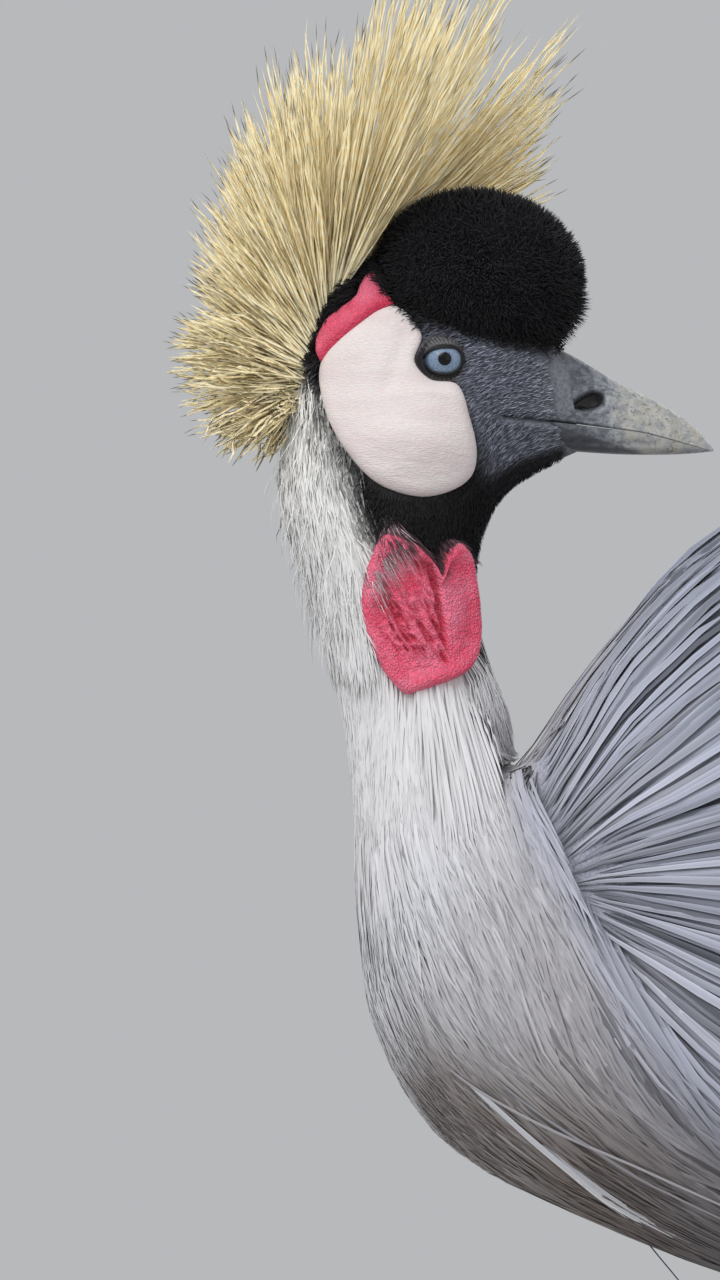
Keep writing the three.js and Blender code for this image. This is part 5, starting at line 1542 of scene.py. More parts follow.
makeCrest(bristleMaterial())
print("crest ready")


# Velvet of the head
cheekLoop = loopOf(cheekOutline, 90)
roseLoop = loopOf(roseOutline, 60)


def bareFace(p, a):
    # Places on the sides of the head inside the outline of cheek, rose patch or ring of the eye
    ex, _, ez = bird["eye"]
    ring = loopOf(eyeLook["ringAt"], 60) * 0.97 + np.array([ex, ez])
    x, z = p[:, 0], p[:, 2]
    bare = insideLoop(x, z, cheekLoop) | insideLoop(x, z, roseLoop) | insideLoop(x, z, ring)
    return bare & (np.abs(np.sin(a)) > 0.3)


headVelvet = {"count": 10500, "length": (1.7, 3.0), "halfWidth": (0.16, 0.24)}


def onBlack(s, a):
    limit = blackEdge(a)
    thin = 1 - 0.8 * loreShare(s, np.degrees(np.abs(a)))
    inBlack = (1 - smooth(s, limit - 0.1, limit + 0.25)) * thin * smooth(s, 0.15, 1.0)
    return ~bareFace(barePoint(s, a), a) * inBlack


def makeHeadVelvet():
    # Hairs of three rows that lie along the head, flatter on the face, with whorls from noise
    s, a, rng = scatter(headVelvet["count"], (0.15, 6.3), (-180, 180), 41, onBlack)
    n = len(s)
    length = mix(*headVelvet["length"], smooth(s, 1.2, 3.0)) * (0.75 + 0.5 * rng.random(n))
    p = barePoint(s, a)
    lift = mix(0.35, 0.95, smooth(s, 1.6, 3.2))
    stand = 0.6 + lift[:, None] * (0.7 + 0.5 * rng.random(n)[:, None])
    heights = -0.9 + np.array([0, 0.9, 1.5])[None] * stand
    turn = 0.5 * spotNoise(p, 7, 12) + 0.25 * rng.normal(size=n)
    shaft, out, _, _ = layFeathers(s, a, length, 3, heights, turn)
    wide = mix(*headVelvet["halfWidth"], smooth(s, 1.5, 3))[:, None] * np.array([1, 0.75, 0])[None]
    base = plumageAt(s, a) * (0.6 + 0.55 * rng.random(n))[:, None]
    lore = (smooth(s, 2.3, 1.4) * (np.degrees(np.abs(a)) > 45))[:, None]
    tips = base * mix(1.5, 3.2, lore * rng.random(n)[:, None])
    vanePiece("headVelvet", shaft, out, wide, 0.2, onUnwrap(s, a), base, plush, "velvet_black", (), tips, seed=9)


makeHeadVelvet()


wattleHair = {
    "short": 800,
    "loose": 260,
    "edgeTurn": [-40, -27, -15, -6, 1, 11, 20, 27, 31, 35, 39, 46, 53, 60],  # the wattle's upper edge
    "edgeAt": [656, 656, 660, 668, 670.5, 669, 665.6, 660.4, 656.6, 659.6, 664, 667, 667, 662],
}


def makeWattleHairs():
    # A dark fringe along the wattle's upper edge, and fine loose hairs from the nape, grey and
    # dark, that fall across its nearer upper corner. They rise onto the wattle as they cross its edge
    rng = np.random.default_rng(45)
    short, n = wattleHair["short"], wattleHair["short"] + wattleHair["loose"]
    isLoose = np.arange(n) >= short
    q = rng.random(n)
    turn = np.where(isLoose, -24 + 30 * q ** 0.8, -8 + 71 * q ** 1.1)
    edge = np.interp(turn, wattleHair["edgeTurn"], wattleHair["edgeAt"])
    above = np.where(isLoose, 4 + 9 * rng.random(n), 0.8 + 6 * rng.random(n))
    deep = mix(8, 3, smooth(turn, 6, 22))
    past = np.where(isLoose, 3 + 15 * rng.random(n) ** 1.6, 0.5 + deep * rng.random(n) ** 1.7)
    rows = 5
    t = np.linspace(0, 1, rows)
    z = (edge + above)[:, None] - (above + past)[:, None] * t[None]
    swing = np.where(isLoose, 4 + 12 * rng.random(n), 3 * rng.normal(size=n) + mix(5, 0, smooth(turn, 0, 20)))
    around = turn[:, None] + swing[:, None] * t[None] ** 1.3
    raised = mix(-3.4, 3.4, smooth(edge[:, None] - z, -4.5, 3.2))
    raised = raised + (0.3 + 0.9 * rng.random(n))[:, None] * t[None]
    line = throatPoint(around, z, raised)
    out = unit(line - throatPoint(around, z, raised - 2))
    wide = np.where(isLoose, 0.08, 0.12) * (0.7 + 0.6 * rng.random(n))
    wide = wide[:, None] * np.array([0.9, 1, 0.9, 0.6, 0])[None]
    pale = mix(colour(150, 120, 128), colour(228, 214, 218), rng.random(n)[:, None])
    isPale = (isLoose & (rng.random(n) < mix(0.85, 0.5, smooth(turn, -24, 0))))[:, None]
    dark = mix(plumage["black"], colour(110, 76, 84), rng.random(n)[:, None])
    shade = np.where(isPale, pale, dark)
    roots = np.stack([0.2 + 0.1 * q, 0.25 + 0.1 * rng.random(n)], -1)
    vanePiece("wattleHairs", line, out, wide, 0.15, roots, shade, plush, "velvet_black", (), shade * 1.2, seed=46,
              soft=0.3)


makeWattleHairs()
print("velvet ready")


# Feathers of the neck, breast, back and belly
softFeather = featherMaterial("neckFeather", strands=4.0, streak=0.05, edge=0.08, root=0.04, variety=0.05,
                              roughness=0.8, relief=0.08, sheen=0.08, specular=0.12)
hackleFeather = featherMaterial("hackleFeather", strands=6.0, streak=0.08, edge=0.16, root=0.1, variety=0.1,
                                roughness=0.75, relief=0.15, sheen=0.06, specular=0.14)
longFeather = featherMaterial("backFeather", strands=12.0, streak=0.12, edge=0.36, root=0.25, variety=0.13,
                              roughness=0.72, relief=0.25, sheen=0.05, specular=0.16)


def bodyFeathers(name, seed, count, along, around, rows, length, wide, lift, material, slot, shape, nodes=(),
                 keep=None, onCoat=0.0, thick=0.35, wander=0.12, tipShade=1.12, lie="breast", curve=0.15,
                 uneven=0.3, soft=0.5, vary=0.08, shadowGapShare=0.0, steep=3.5, shadeOf=None, blur=0.0):
    # Feathers laid over the surface in the lie of the plumage. They rise by lift and by onCoat of
    # the coat's depth, as 1 less the share left of the way to the power of steep. Their colour
    # runs from that of the plumage at the root to that at the tip; shadowGapShare is the share of
    # feathers darkened by half, painted shade for the dark gaps between feathers
    s, a, rng = scatter(count, along, around, seed, keep)
    n = len(s)
    t = np.linspace(0, 1, rows)
    long = valueAt(length, s, a) * (0.8 + 0.4 * rng.random(n))
    floor = skinRaise(s, a)
    rise = (valueAt(lift, s, a) + onCoat * coatDepth(s, a)) * (1 - uneven / 2 + uneven * rng.random(n))
    heights = floor[:, None] + rise[:, None] * (1 - (1 - t[None]) ** steep) - 0.8 * (t[None] == 0)
    turn = wander * rng.normal(size=n)
    shaft, out, sTip, aTip = layFeathers(s, a, long, rows, heights, turn, curve * rng.normal(size=n), lie)
    across = unit(np.cross(np.gradient(shaft, axis=1), out))
    roll = featherRoll * rng.normal(size=n)[:, None, None]
    out = unit(out * np.cos(roll) + across * np.sin(roll))
    width = valueAt(wide, s, a)[:, None] * np.interp(t, *shape)[None] * (0.8 + 0.4 * rng.random(n))[:, None]
    # Some feathers are darkened by half: painted shade for the gaps between feathers
    shade = (1 - vary + 2 * vary * rng.random(n)) * np.where(rng.random(n) < shadowGapShare, 0.5, 1)
    off = blur * rng.normal(size=n)
    colours, tips = (plumageAt(spot[0] + off, spot[1]) * shade[:, None] for spot in ((s, a), (sTip, aTip)))
    if shadeOf is not None:
        colours = tips = shadeOf * shade[:, None]
    # Feathers that fold where the surface turns in on itself are left out
    step = unit(np.diff(shaft, axis=1))
    flat = ((step[:, 1:] * step[:, :-1]).sum(-1).min(1) > 0.55) & ((step[:, :1] * step).sum(-1).min(1) > 0.1)
    vanePiece(name, shaft[flat], out[flat], width[flat], thick, onUnwrap(s, a)[flat], colours[flat], material, slot,
              nodes, (tips * tipShade)[flat], seed=seed, soft=soft)


featherRoll = 0.15  # radians that a feather is turned about its shaft, give or take
# Half width along a feather: shares of its length and of the full width
hairShape = ([0, 0.15, 0.5, 0.8, 1], [0.7, 1, 0.9, 0.6, 0])
lanceShape = ([0, 0.12, 0.35, 0.7, 0.9, 1], [0.5, 0.8, 1, 0.85, 0.45, 0])
fanShape = ([0, 0.12, 0.3, 0.5, 0.85, 0.95, 1], [0.16, 0.34, 0.7, 1, 0.95, 0.6, 0])
broadShape = ([0, 0.15, 0.6, 0.88, 0.97, 1], [0.5, 0.9, 1, 0.8, 0.45, 0])


def onNeck(s, a):
    # From the edge of the black downward, with a softer edge on the sides
    wide = 0.6 * smooth(np.degrees(np.abs(a)), 30, 45) * (1 - smooth(np.degrees(np.abs(a)), 78, 95))
    return smooth(s - blackEdge(a), -0.15 - wide, 0.1)


# x and z of the lower edge of the brow's velvet
browEdge = ([-165, -159.8, -154.4, -147, -142, -134.6, -125.7, -111.4, -104],
            [744, 741, 740.5, 740, 739, 736, 733.4, 732.6, 731])


def offBareFace(s, a):
    # Over the crown and behind the bare face, inside the black
    aside = smooth(s, 2.9, 3.3) + (np.abs(a) < math.radians(36))
    return ~bareFace(barePoint(s, a), a) * (s < blackEdge(a) - 0.25) * np.minimum(aside, 1)


def onLore(s, a):
    # The slate face before the eye, clear of the mouth line
    p = barePoint(s, a)
    clear = smooth(mouthDistance(p[:, 0], p[:, 2]), 0.9, 1.6)
    return ~bareFace(p, a) * clear * loreShare(s, np.degrees(np.abs(a)))


def onBrow(s, a):
    # The velvet that comes down from the cushion onto the face
    p = barePoint(s, a)
    edge = np.interp(p[:, 0], *browEdge)
    return ~bareFace(p, a) * smooth(p[:, 2] - edge, -0.5, 2.0) * (s < 3.2)


def pastFan(s, a):
    # Degrees past the edge where the fan of the mantle comes out from under the neck
    return fromFront(a) - np.where(s < plumage["fanAt"][0], 200, fanEdge(s))


def endAtFan(s, a):
    # Shorter close above the place where the back of the neck meets the mantle
    left = np.interp(s, [7.3, 7.5, 8.0, 8.4, 8.7, 9.0], [1, 0.85, 0.5, 0.28, 0.17, 0.12])
    return mix(1, left, smooth(fromFront(a), 134, 146))


def onNeckSide(s, a):
    # Before the fan of the mantle and off the wattle, with a gap where the side runs into a fold
    degrees = fromFront(a)
    inFold = (degrees > 104) & (s > 8.0) & (s < 9.75) & ~((degrees > 142) & (s < 9.05))
    return offWattle(s, a) * (pastFan(s, a) < mix(-1, 5, smooth(s, 11.5, 13))) * ~inFold


def atFanEdge(s, a):
    # Thick along the edge of the fan, and fewer away from it
    past = pastFan(s, a)
    near = 0.25 + 3 * np.exp(-(past / 14) ** 2)
    return (past > mix(-14, -2, smooth(s, 9.8, 10.8))) * near * smooth(s, 14.8, 14.0)


def behindFan(s, a):
    # None at the edge of the fan, full from 22 degrees behind it
    return smooth(pastFan(s, a), 8, 22)


def offWattle(s, a):
    # No feathers under the bib, nor close enough above it to run out over it
    p = barePoint(s, a)
    x, z = p[:, 0], p[:, 2]
    edge = loopOf(wattle["outline"], 60)
    loop = throatPoint(edge[:, 0], edge[:, 1], 2.0)
    middle = loop.mean(0)
    loop = middle + (loop - middle) * np.where(loop[:, 2:] < 630, 0.88, 0.97)
    under = insideLoop(x, z, loop[:, [0, 2]]) | insideLoop(x + 2, z - 8, loop[:, [0, 2]])
    return onNeck(s, a) * ~(under & (p[:, 1] < 0))


# What the coats of a region share
velvetCoat = dict(material=plush, slot="velvet_black", shape=hairShape)
neckCoat = dict(material=softFeather, slot="feather_pale", shape=hairShape, thick=0.12, vary=0.05)
hackleCoat = dict(material=hackleFeather, nodes=("torso",), keep=onNeckSide, shape=lanceShape)
backCoat = dict(material=longFeather, slot="feather_grey")
# along is by station and around in degrees. Four numbers mean from, to, first and last station
coats = {
    "rimVelvet": dict(velvetCoat, seed=48, count=2300, along=(2.45, 4.9), around=(-64, 64), keep=offBareFace, rows=4,
                      length=5.0, wide=0.3, lift=(6.5, 3.6, 2.6, 3.3), thick=0.25, wander=0.3, lie=None, soft=None,
                      uneven=0.6, steep=1.6),
    "browVelvet": dict(velvetCoat, seed=47, count=2500, along=(0.1, 3.2), around=(-125, 125), keep=onBrow, rows=4,
                       length=4.4, wide=0.26, lift=3.6, thick=0.25, wander=0.35, lie="face", soft=None, uneven=0.6,
                       steep=1.6, shadeOf=plumage["black"]),
    "loreHairs": dict(velvetCoat, seed=49, count=5800, along=(0.35, 2.9), around=(-168, 168), keep=onLore, rows=3,
                      length=3.6, wide=0.13, lift=1.0, thick=0.2, lie="face", tipShade=2.6, vary=0.75, uneven=0.7),
    "napeFeathers": dict(neckCoat, seed=51, count=9800, along=(3.6, 7.3), around=(-180, 180), keep=offWattle, rows=4,
                         nodes=("neck_upper",), length=(12, 27, 4.4, 7), wide=0.46,
                         lift=lambda s, a: mix(1.2, 3.3, smooth(s - blackEdge(a), -0.4, 0.6)), wander=0.1,
                         soft=0.75, tipShade=1.04, blur=0.3),
    "napeStrays": dict(neckCoat, seed=50, count=480, along=(4.3, 7.3), around=(-75, 75), keep=offWattle, rows=5,
                       length=(12, 20, 4.6, 7), wide=0.2, lift=6.0, wander=0.25, uneven=1.0, curve=0.6, steep=1.6),
    "neckFeathers": dict(neckCoat, seed=52, count=9400, along=(6.7, 9.7), around=(-180, 180), keep=onNeckSide, rows=4,
                         nodes=("neck_lower",), wide=(0.5, 0.58, 7.5, 10), wander=0.05, soft=0.75, uneven=0.08,
                         length=lambda s, a: mix(30, 50, smooth(s, 7.5, 10)) * endAtFan(s, a),
                         lift=lambda s, a: (2.4 + coatDepth(s, a) * 0.9) * mix(0.35, 1, endAtFan(s, a)),
                         tipShade=1.02),
    "lowNeckFeathers": dict(hackleCoat, seed=57, count=6500, along=(8.8, 12.2), around=(-140, 140), rows=5,
                            slot="feather_pale", length=(50, 70, 9.5, 12), wide=0.62, lift=2.9, onCoat=0.95,
                            thick=0.12, wander=0.05, soft=0.7, shadowGapShare=0.012, uneven=0.12, tipShade=1.04),
    "breastHackles": dict(hackleCoat, seed=53, count=6100, along=(11.2, 14.6), around=(-100, 100), rows=6,
                          slot="feather_grey", length=(74, 92, 10.5, 12), wide=(0.7, 1.3, 10.8, 13.5), lift=2.9,
                          onCoat=0.97, thick=0.2, wander=0.06, vary=0.2, shadowGapShare=0.07),
    "bellyFeathers": dict(backCoat, seed=54, count=2400, along=(14.0, 19.6), around=(-118, 118), rows=6,
                          nodes=("torso",), length=66, wide=3.4, lift=3.2, onCoat=0.8, shape=lanceShape, thick=0.4,
                          soft=0.4),
    "mantleFan": dict(backCoat, seed=58, count=4000, along=(8.9, 14.8), around=(46, 314), keep=atFanEdge, rows=9,
                      nodes=("mantle",), length=122, wide=1.35, lift=(3.4, 10.5, 9, 12.6), shape=fanShape, thick=0.3,
                      wander=0.03, curve=0.08, soft=0.35, vary=0.3, shadowGapShare=0.16, lie="mantle", steep=1.5, uneven=0.35),
    "mantleFeathers": dict(backCoat, seed=55, count=2700, along=(10.5, 17.0), around=(62, 298), keep=behindFan,
                           rows=8, nodes=("mantle",), length=(116, 92, 10, 15), wide=(2.2, 3.8, 11, 14), lift=4.0,
                           onCoat=0.85, shape=fanShape, thick=0.45, wander=0.06, soft=0.35, vary=0.25, shadowGapShare=0.13,
                           lie="mantle", steep=1.7),
    "rumpFeathers": dict(backCoat, seed=56, count=1500, along=(16.2, 19.8), around=(90, 270), rows=6,
                         nodes=("torso",), length=52, wide=4.2, lift=5.0, onCoat=0.8, shape=lanceShape, thick=0.5,
                         soft=0.4, lie="mantle"),
}
for name, coat in coats.items():
    bodyFeathers(name, **coat)


bend = {"count": 1250, "stations": (7.3, 9.9), "turn": (96, 166), "length": (46, 20), "rows": 6}


def overTheBend():
    # Where the neck's side runs out over the shoulder the feathers don't dip into the fold: they
    # keep to their way as seen from the side, and lie outside both the chord and the surface
    s, a, rng = scatter(bend["count"], bend["stations"], bend["turn"], 63)
    n, rows = len(s), bend["rows"]
    t = np.linspace(0, 1, rows)
    root, normal = surfaceAt(s, a, skinRaise(s, a))
    flowX, flowZ = lieAt(lieOfPlumage["breast"], root[:, 0], root[:, 2], np.full(n, 0.3), np.full(n, -0.95))
    turn = 0.06 * rng.normal(size=n)
    flowX, flowZ = flowX * np.cos(turn) - flowZ * np.sin(turn), flowX * np.sin(turn) + flowZ * np.cos(turn)
    long = mix(*bend["length"], smooth(np.degrees(a), 118, 155)) * (0.8 + 0.4 * rng.random(n))
    x = root[:, :1] + (flowX * long)[:, None] * t
    z = root[:, 2:] + (flowZ * long)[:, None] * t
    station, angle = findOnSide(x, z, 13)
    rise = (1.6 + 2.6 * rng.random(n))[:, None] * (1 - (1 - t) ** 2.5)
    here, out = surfaceAt(station, angle, skinRaise(station, angle) + coatDepth(station, angle) * 0.9 + rise)
    chord = root[:, 1:2] + (here[:, -1, 1] - root[:, 1])[:, None] * t
    depth = np.maximum(-chord, np.maximum(-here[..., 1], -root[:, 1:2] + 0.4 * rise))
    depth[:, 0] = -root[:, 1] - 0.8
    depth[:, 1:-1] = 0.25 * depth[:, :-2] + 0.5 * depth[:, 1:-1] + 0.25 * depth[:, 2:]
    out = unit(mix(normal[:, None], out[:, -1:], t[None, :, None]) + np.array([0, -0.4, 0]))
    shaft = np.stack([x, -depth, z], -1)
    # Those with a leap from one row to the next are left out
    even = np.linalg.norm(np.diff(shaft, axis=1), axis=-1).max(1) < long / (rows - 1) * 1.45
    shaft, out, s, a = shaft[even], out[even], s[even], a[even]
    n = len(s)
    width = (0.5 + 0.12 * rng.random(n))[:, None] * np.interp(t, *hairShape)
    base = plumageAt(s, a) * (0.96 + 0.08 * rng.random(n))[:, None]
    tips = mix(plumageAt(station[even, -1], angle[even, -1]), base, 0.5)
    flip = np.array([1, -1, 1])
    vanePiece("bendFeathers", np.concatenate([shaft, shaft * flip]), np.concatenate([out, out * flip]),
              np.tile(width, (2, 1)), 0.12, np.concatenate([onUnwrap(s, a), onUnwrap(s, -a)]), np.tile(base, (2, 1)),
              softFeather, "feather_pale", ("neck_lower",), np.tile(tips, (2, 1)) * 1.02, seed=64, soft=0.75)


overTheBend()


# Loose strands: side view x, z from root to tip, half width, shade
looseStrands = [
    ([(-144, 482), (-139, 478), (-127, 467), (-113, 455), (-99, 443.5), (-83, 434), (-59, 422), (-30, 412)], 1.0,
     (206, 208, 215)),
    ([(-142, 480), (-137, 476), (-125, 465), (-111, 453), (-97, 441.5), (-81, 432), (-57, 420), (-28, 410)], 1.0,
     (222, 223, 228)),
    ([(-140, 478), (-134, 473), (-122, 462), (-109, 451), (-95, 439.5), (-79, 430), (-55, 418.5), (-26, 409)], 0.9,
     (196, 197, 204)),
    ([(-132, 471), (-127, 467), (-116, 457.5), (-104, 448), (-91, 438), (-75, 428.5), (-52, 417.5), (-24, 408)], 0.9,
     (214, 215, 221)),
    ([(-120, 462), (-115, 458), (-106, 451), (-96, 443.5), (-84, 436), (-68, 427.5), (-46, 418), (-20, 410)], 1.0,
     (186, 187, 195)),
    ([(-152, 488), (-141, 480), (-125, 471), (-108, 463), (-89, 455), (-69, 446), (-46, 436), (-20, 427)], 0.6,
     (160, 158, 163)),
    ([(-138, 487), (-129, 479), (-117, 470), (-103, 461), (-86, 450), (-68, 441), (-46, 431), (-22, 423)], 0.5,
     (150, 149, 156)),
    ([(-97, 440), (-93, 437), (-88, 432), (-83, 427), (-78, 421), (-73, 415), (-68, 409), (-63, 403)], 0.45,
     (62, 66, 80)),
]


def makeStrands():
    # Each strand follows its line in the side view, lies over the plumage there, and hangs free
    # at the same depth once it is past the bird's outline
    t = np.linspace(0, 1, 22)
    lines, outs, widths, shades = [], [], [], []
    for spots, wide, shade in looseStrands:
        flat = curveAt(np.array(spots, float), t)
        station, angle = findOnSide(flat[:, 0], flat[:, 1], 14.5)
        lift = skinRaise(station, angle) + 3.9 + coatDepth(station, angle)
        lift = lift + 4 * smooth(t, 0, 0.5) - 1.8 * (t < 0.04)
        point, out = surfaceAt(station, angle, lift)
        clear = np.hypot(point[:, 0] - flat[:, 0], point[:, 2] - flat[:, 1]) > 9
        firstClear = len(t) if not clear.any() else max(int(clear.argmax()), 1)
        y = np.where(np.arange(len(t)) >= firstClear, point[firstClear - 1, 1], point[:, 1])
        lines.append(np.stack([flat[:, 0], y, flat[:, 1]], -1))
        outs.append(unit(out + np.array([0, -0.5, 0])))
        widths.append(wide * np.interp(t, *lanceShape))
        shades.append(colour(*shade))
    roots = np.stack([np.linspace(0.3, 0.7, len(lines)), np.full(len(lines), 0.2)], -1)
    shades = np.array(shades)
    vanePiece("looseStrands", np.stack(lines), np.stack(outs), np.stack(widths), 0.3, roots, shades, hackleFeather,
              "feather_grey", (), shades * 1.1, seed=91, soft=0.4)


makeStrands()
print("body plumage ready")


# Wings
wingStations = np.array([(-56, 530, 16, 86, 2), (-40, 528, 42, 97, 6), (0, 523, 60, 104, 8), (50, 520, 66, 107, 9),
                         (110, 516, 62, 101, 8), (170, 507, 53, 85, 7), (240, 490, 40, 62, 6), (320, 466, 27, 40, 4),
                         (402, 436, 12, 24, 2)], float)
wingColours = {
    "white": colour(232, 230, 224),
    "straw": colour(214, 190, 128),
    "chestnut": colour(92, 44, 30),
    "black": colour(26, 26, 31),
}


def wingPoint(side, along, across, raised):
    # A place on the outer face: along the wing, and across it from -1 below to 1 above
    w = curveAt(wingStations, np.clip(along, 0, 1))
    lift = across * w[..., 2]
    bulge = w[..., 4] * np.sqrt(np.maximum(0, 1 - across ** 2))
    y = side * (w[..., 3] - 0.0016 * lift ** 2 + bulge + raised)
    return np.stack([w[..., 0], y, w[..., 1] + lift], -1)


def wingTier(side, word, name, rows, count, start, end, run, drop, wide, lift, shadeAt, seed, thick):
    # Overlapping vanes whose roots lie between two places on the wing, in staggered lines. Each
    # runs to the rear by run and drops with the square of its length
    rng = np.random.default_rng(seed)
    n = count
    share = (np.arange(n) + 0.5) / n + 0.4 / n * rng.normal(size=n)
    lines = (np.arange(n) * 0.618) % 1  # the golden section keeps neighbours apart
    along = mix(start[0], end[0], share) + start[2] * (lines - 0.5)
    across = mix(start[1], end[1], share)
    t = np.linspace(0, 1, rows)
    u = along[:, None] + run * t[None] * (0.9 + 0.2 * rng.random(n))[:, None]
    v = across[:, None] - drop * t[None] ** 2 + 0.03 * rng.normal(size=n)[:, None] * t[None]
    raised = lift[0] + (lift[1] - lift[0]) * (1 - (1 - t[None]) ** 2) + 0.8 * rng.random(n)[:, None]
    raised = raised - 1.2 * (t[None] == 0)
    line = wingPoint(side, u, v, raised)
    out = unit(np.stack([0 * v, np.full(v.shape, float(side)), 0.35 * v], -1))
    profile = np.interp(t, *lanceShape if wide < 4 else broadShape)
    width = wide * profile[None] * (0.85 + 0.3 * rng.random(n))[:, None]
    roots = np.stack([np.clip(along, 0, 1), 0.5 + 0.49 * across], -1)
    colours, tips = shadeAt(share, rng)
    vanePiece(name + word, line, out, width, thick, roots, colours, wingFeather, "feather_wing",
              ("wing_" + word.lower(),), tips, seed=seed)


def plain(name, jitter=0.06):
    # One colour, a little lighter or darker from feather to feather
    def shade(share, rng):
        c = np.tile(wingColours[name], (len(share), 1)) * (1 + jitter * rng.normal(size=len(share)))[:, None]
        return c, c
    return shade


def strawTips(share, rng):
    # White at the root and straw at the tip
    n = len(share)
    return (np.tile(wingColours["white"], (n, 1)),
            np.tile(wingColours["straw"], (n, 1)) * (0.8 + 0.4 * rng.random(n))[:, None])


wingFeather = featherMaterial("wingVane", strands=26.0, slant=2.2, streak=0.16, edge=0.16, root=0.35, variety=0.14,
                              roughness=0.5, relief=0.35, sheen=0.1)


def wingShell(side, word):
    # A thin closed body under the vanes, narrowing to the rear
    u = np.linspace(0, 0.86, 60)
    w = curveAt(wingStations, u)
    fade = 1 - 0.7 * smooth(u, 0.6, 0.86)
    turn = roundTurn(48)
    high = (w[:, 2] * fade - 1.5)[:, None]
    lift = np.cos(turn)[None] * high
    outward = np.sin(turn)[None] * np.where(np.sin(turn)[None] > 0, w[:, 4:5], 3 * w[:, 4:5] * fade[:, None])
    y = side * (w[:, 3:4] - 0.0016 * lift ** 2 + outward - 1.0)
    rings = np.stack([np.broadcast_to(w[:, 0:1], lift.shape), y, w[:, 1:2] + lift], -1)
    points, quads, tris = closedLoft(rings)
    x = points[:, 0]
    shade = mix(wingColours["white"], wingColours["chestnut"], smooth(x, 90, 150)[:, None])
    shade = mix(shade, wingColours["black"], smooth(x, 190, 260)[:, None])
    addPiece("wingBody" + word, points, quads, tris, "feather_wing", ("wing_" + word.lower(),), fleshSkin, shade)


# Name, rows, count, first and last root as along, across and spread of the lines, run, drop,
# half width, lift at root and tip, colours, seed, thickness
wingTiers = [
    ("primaries", 9, 8, (0.56, -0.35, 0.0), (0.6, -0.8), 0.4, 0.0, 7.5, (0.2, 2.0), plain("black"), 61, 0.8),
    ("secondaries", 9, 16, (0.5, -0.35, 0.03), (0.58, 0.7), 0.38, 0.12, 9.5, (0.5, 3.0), plain("chestnut", 0.12), 62,
     0.8),
    ("greaterCoverts", 8, 30, (0.26, -0.66, 0.1), (0.34, 0.72), 0.2, 0.12, 7.0, (1.0, 3.6), plain("white"), 63, 0.8),
    ("medianCoverts", 7, 42, (0.16, -0.66, 0.12), (0.22, 0.72), 0.15, 0.1, 6.0, (1.4, 4.2), plain("white"), 64, 0.8),
    ("lesserCoverts", 6, 70, (0.04, -0.7, 0.14), (0.1, 0.76), 0.12, 0.08, 5.0, (1.6, 4.6), plain("white"), 65, 0.8),
    ("strawPlumes", 9, 60, (0.34, -0.5, 0.12), (0.42, 0.72), 0.27, 0.4, 2.2, (2.6, 6.0), strawTips, 66, 0.6),
]
for side, word in ((-1, "Left"), (1, "Right")):
    wingShell(side, word)
    for tier in wingTiers:
        wingTier(side, word, *tier)
print("wings ready")


# Tail
tail = {"root": (226.0, 0.0, 492.0), "length": 178.0, "fall": math.radians(31), "feathers": 12, "rows": 12}


def makeTail():
    # Twelve feathers in pairs, each pair wider, lower and shorter than the one above it
    number = np.arange(tail["feathers"])
    side = np.where(number % 2, 1.0, -1.0)
    rank = number // 2
    fan = np.radians(2 + rank * 2.1) * side
    level, down = math.cos(tail["fall"]) + 0 * side, math.sin(tail["fall"]) + 0 * side
    heading = np.stack([level, np.sin(fan), -down], -1)
    out = unit(np.stack([down, 0.1 * side, level], -1))
    root = np.array(tail["root"]) + np.stack([0 * side, side * (2 + rank * 1.6), -rank * 1.5], -1)
    t = np.linspace(0, 1, tail["rows"])
    long = tail["length"] - 5 * rank
    line = root[:, None] + heading[:, None] * (long[:, None] * t)[..., None]
    line[..., 2] -= 10 * t ** 2
    profile = np.interp(t, [0, 0.4, 0.88, 0.97, 1], [5, 10, 10, 6, 0])
    roots = np.stack([0.5 + 0.03 * number, 0.5 + 0 * side], -1)
    shade = np.tile(wingColours["black"], (len(number), 1))
    vanePiece("tailFeathers", line, np.repeat(out[:, None], len(t), 1), np.tile(profile, (len(number), 1)), 1.2,
              roots, shade, wingFeather, "feather_tail", ("tail",), seed=71)


makeTail()
print("tail ready")


# Legs

def legMaterial():
    # Cells with dark seams between them, over two broad shades of grey
    made, tree, shader = newMaterial("scaledLegSkin", {"Roughness": 0.5})
    place = objectPlace(tree)
    cells = node(tree, "ShaderNodeTexVoronoi", {"Vector": stretched(tree, place, (1, 1, 0.6)), "Scale": 420.0},
                 feature="DISTANCE_TO_EDGE").outputs[0]
    broad = noise(tree, place, 60.0, 3.0)
    shade = blend(tree, between(tree, broad, 0.35, 0.65), rgba(44, 44, 48), rgba(70, 69, 72))
    shade = blend(tree, times(tree, between(tree, cells, 0.0, 0.12, 1.0, 0.0), 0.7), shade,
                  rgba(20, 20, 22))
    paint(made, shade, between(tree, cells, 0.0, 0.12), 0.6, 0.0008)
    return made


feet = {
    "toes": [(4, 92, 5.2), (-30, 66, 4.8), (36, 76, 4.8), (194, 36, 4.2)],  # turn, length, half thickness
    "claw": 14.0,
    "toeAround": 20,
    "scutePitch": 3.4,
    "scuteDepth": 0.5,
}
upright = np.array([0, 0, 1.0])


def scutes(rings, pitch, depth):
    # Plates across a limb's front: each ring is pushed out by the rounded saw of its distance along it
    middle = rings.mean(1)
    run = np.concatenate([[0], np.cumsum(np.linalg.norm(np.diff(middle, axis=0), axis=1))])
    saw = ((run / pitch) % 1) ** 0.5 * depth
    out = unit(rings - middle[:, None])
    return rings + out * saw[:, None, None] * np.clip(-out[..., 0:1], 0, 1) ** 0.5


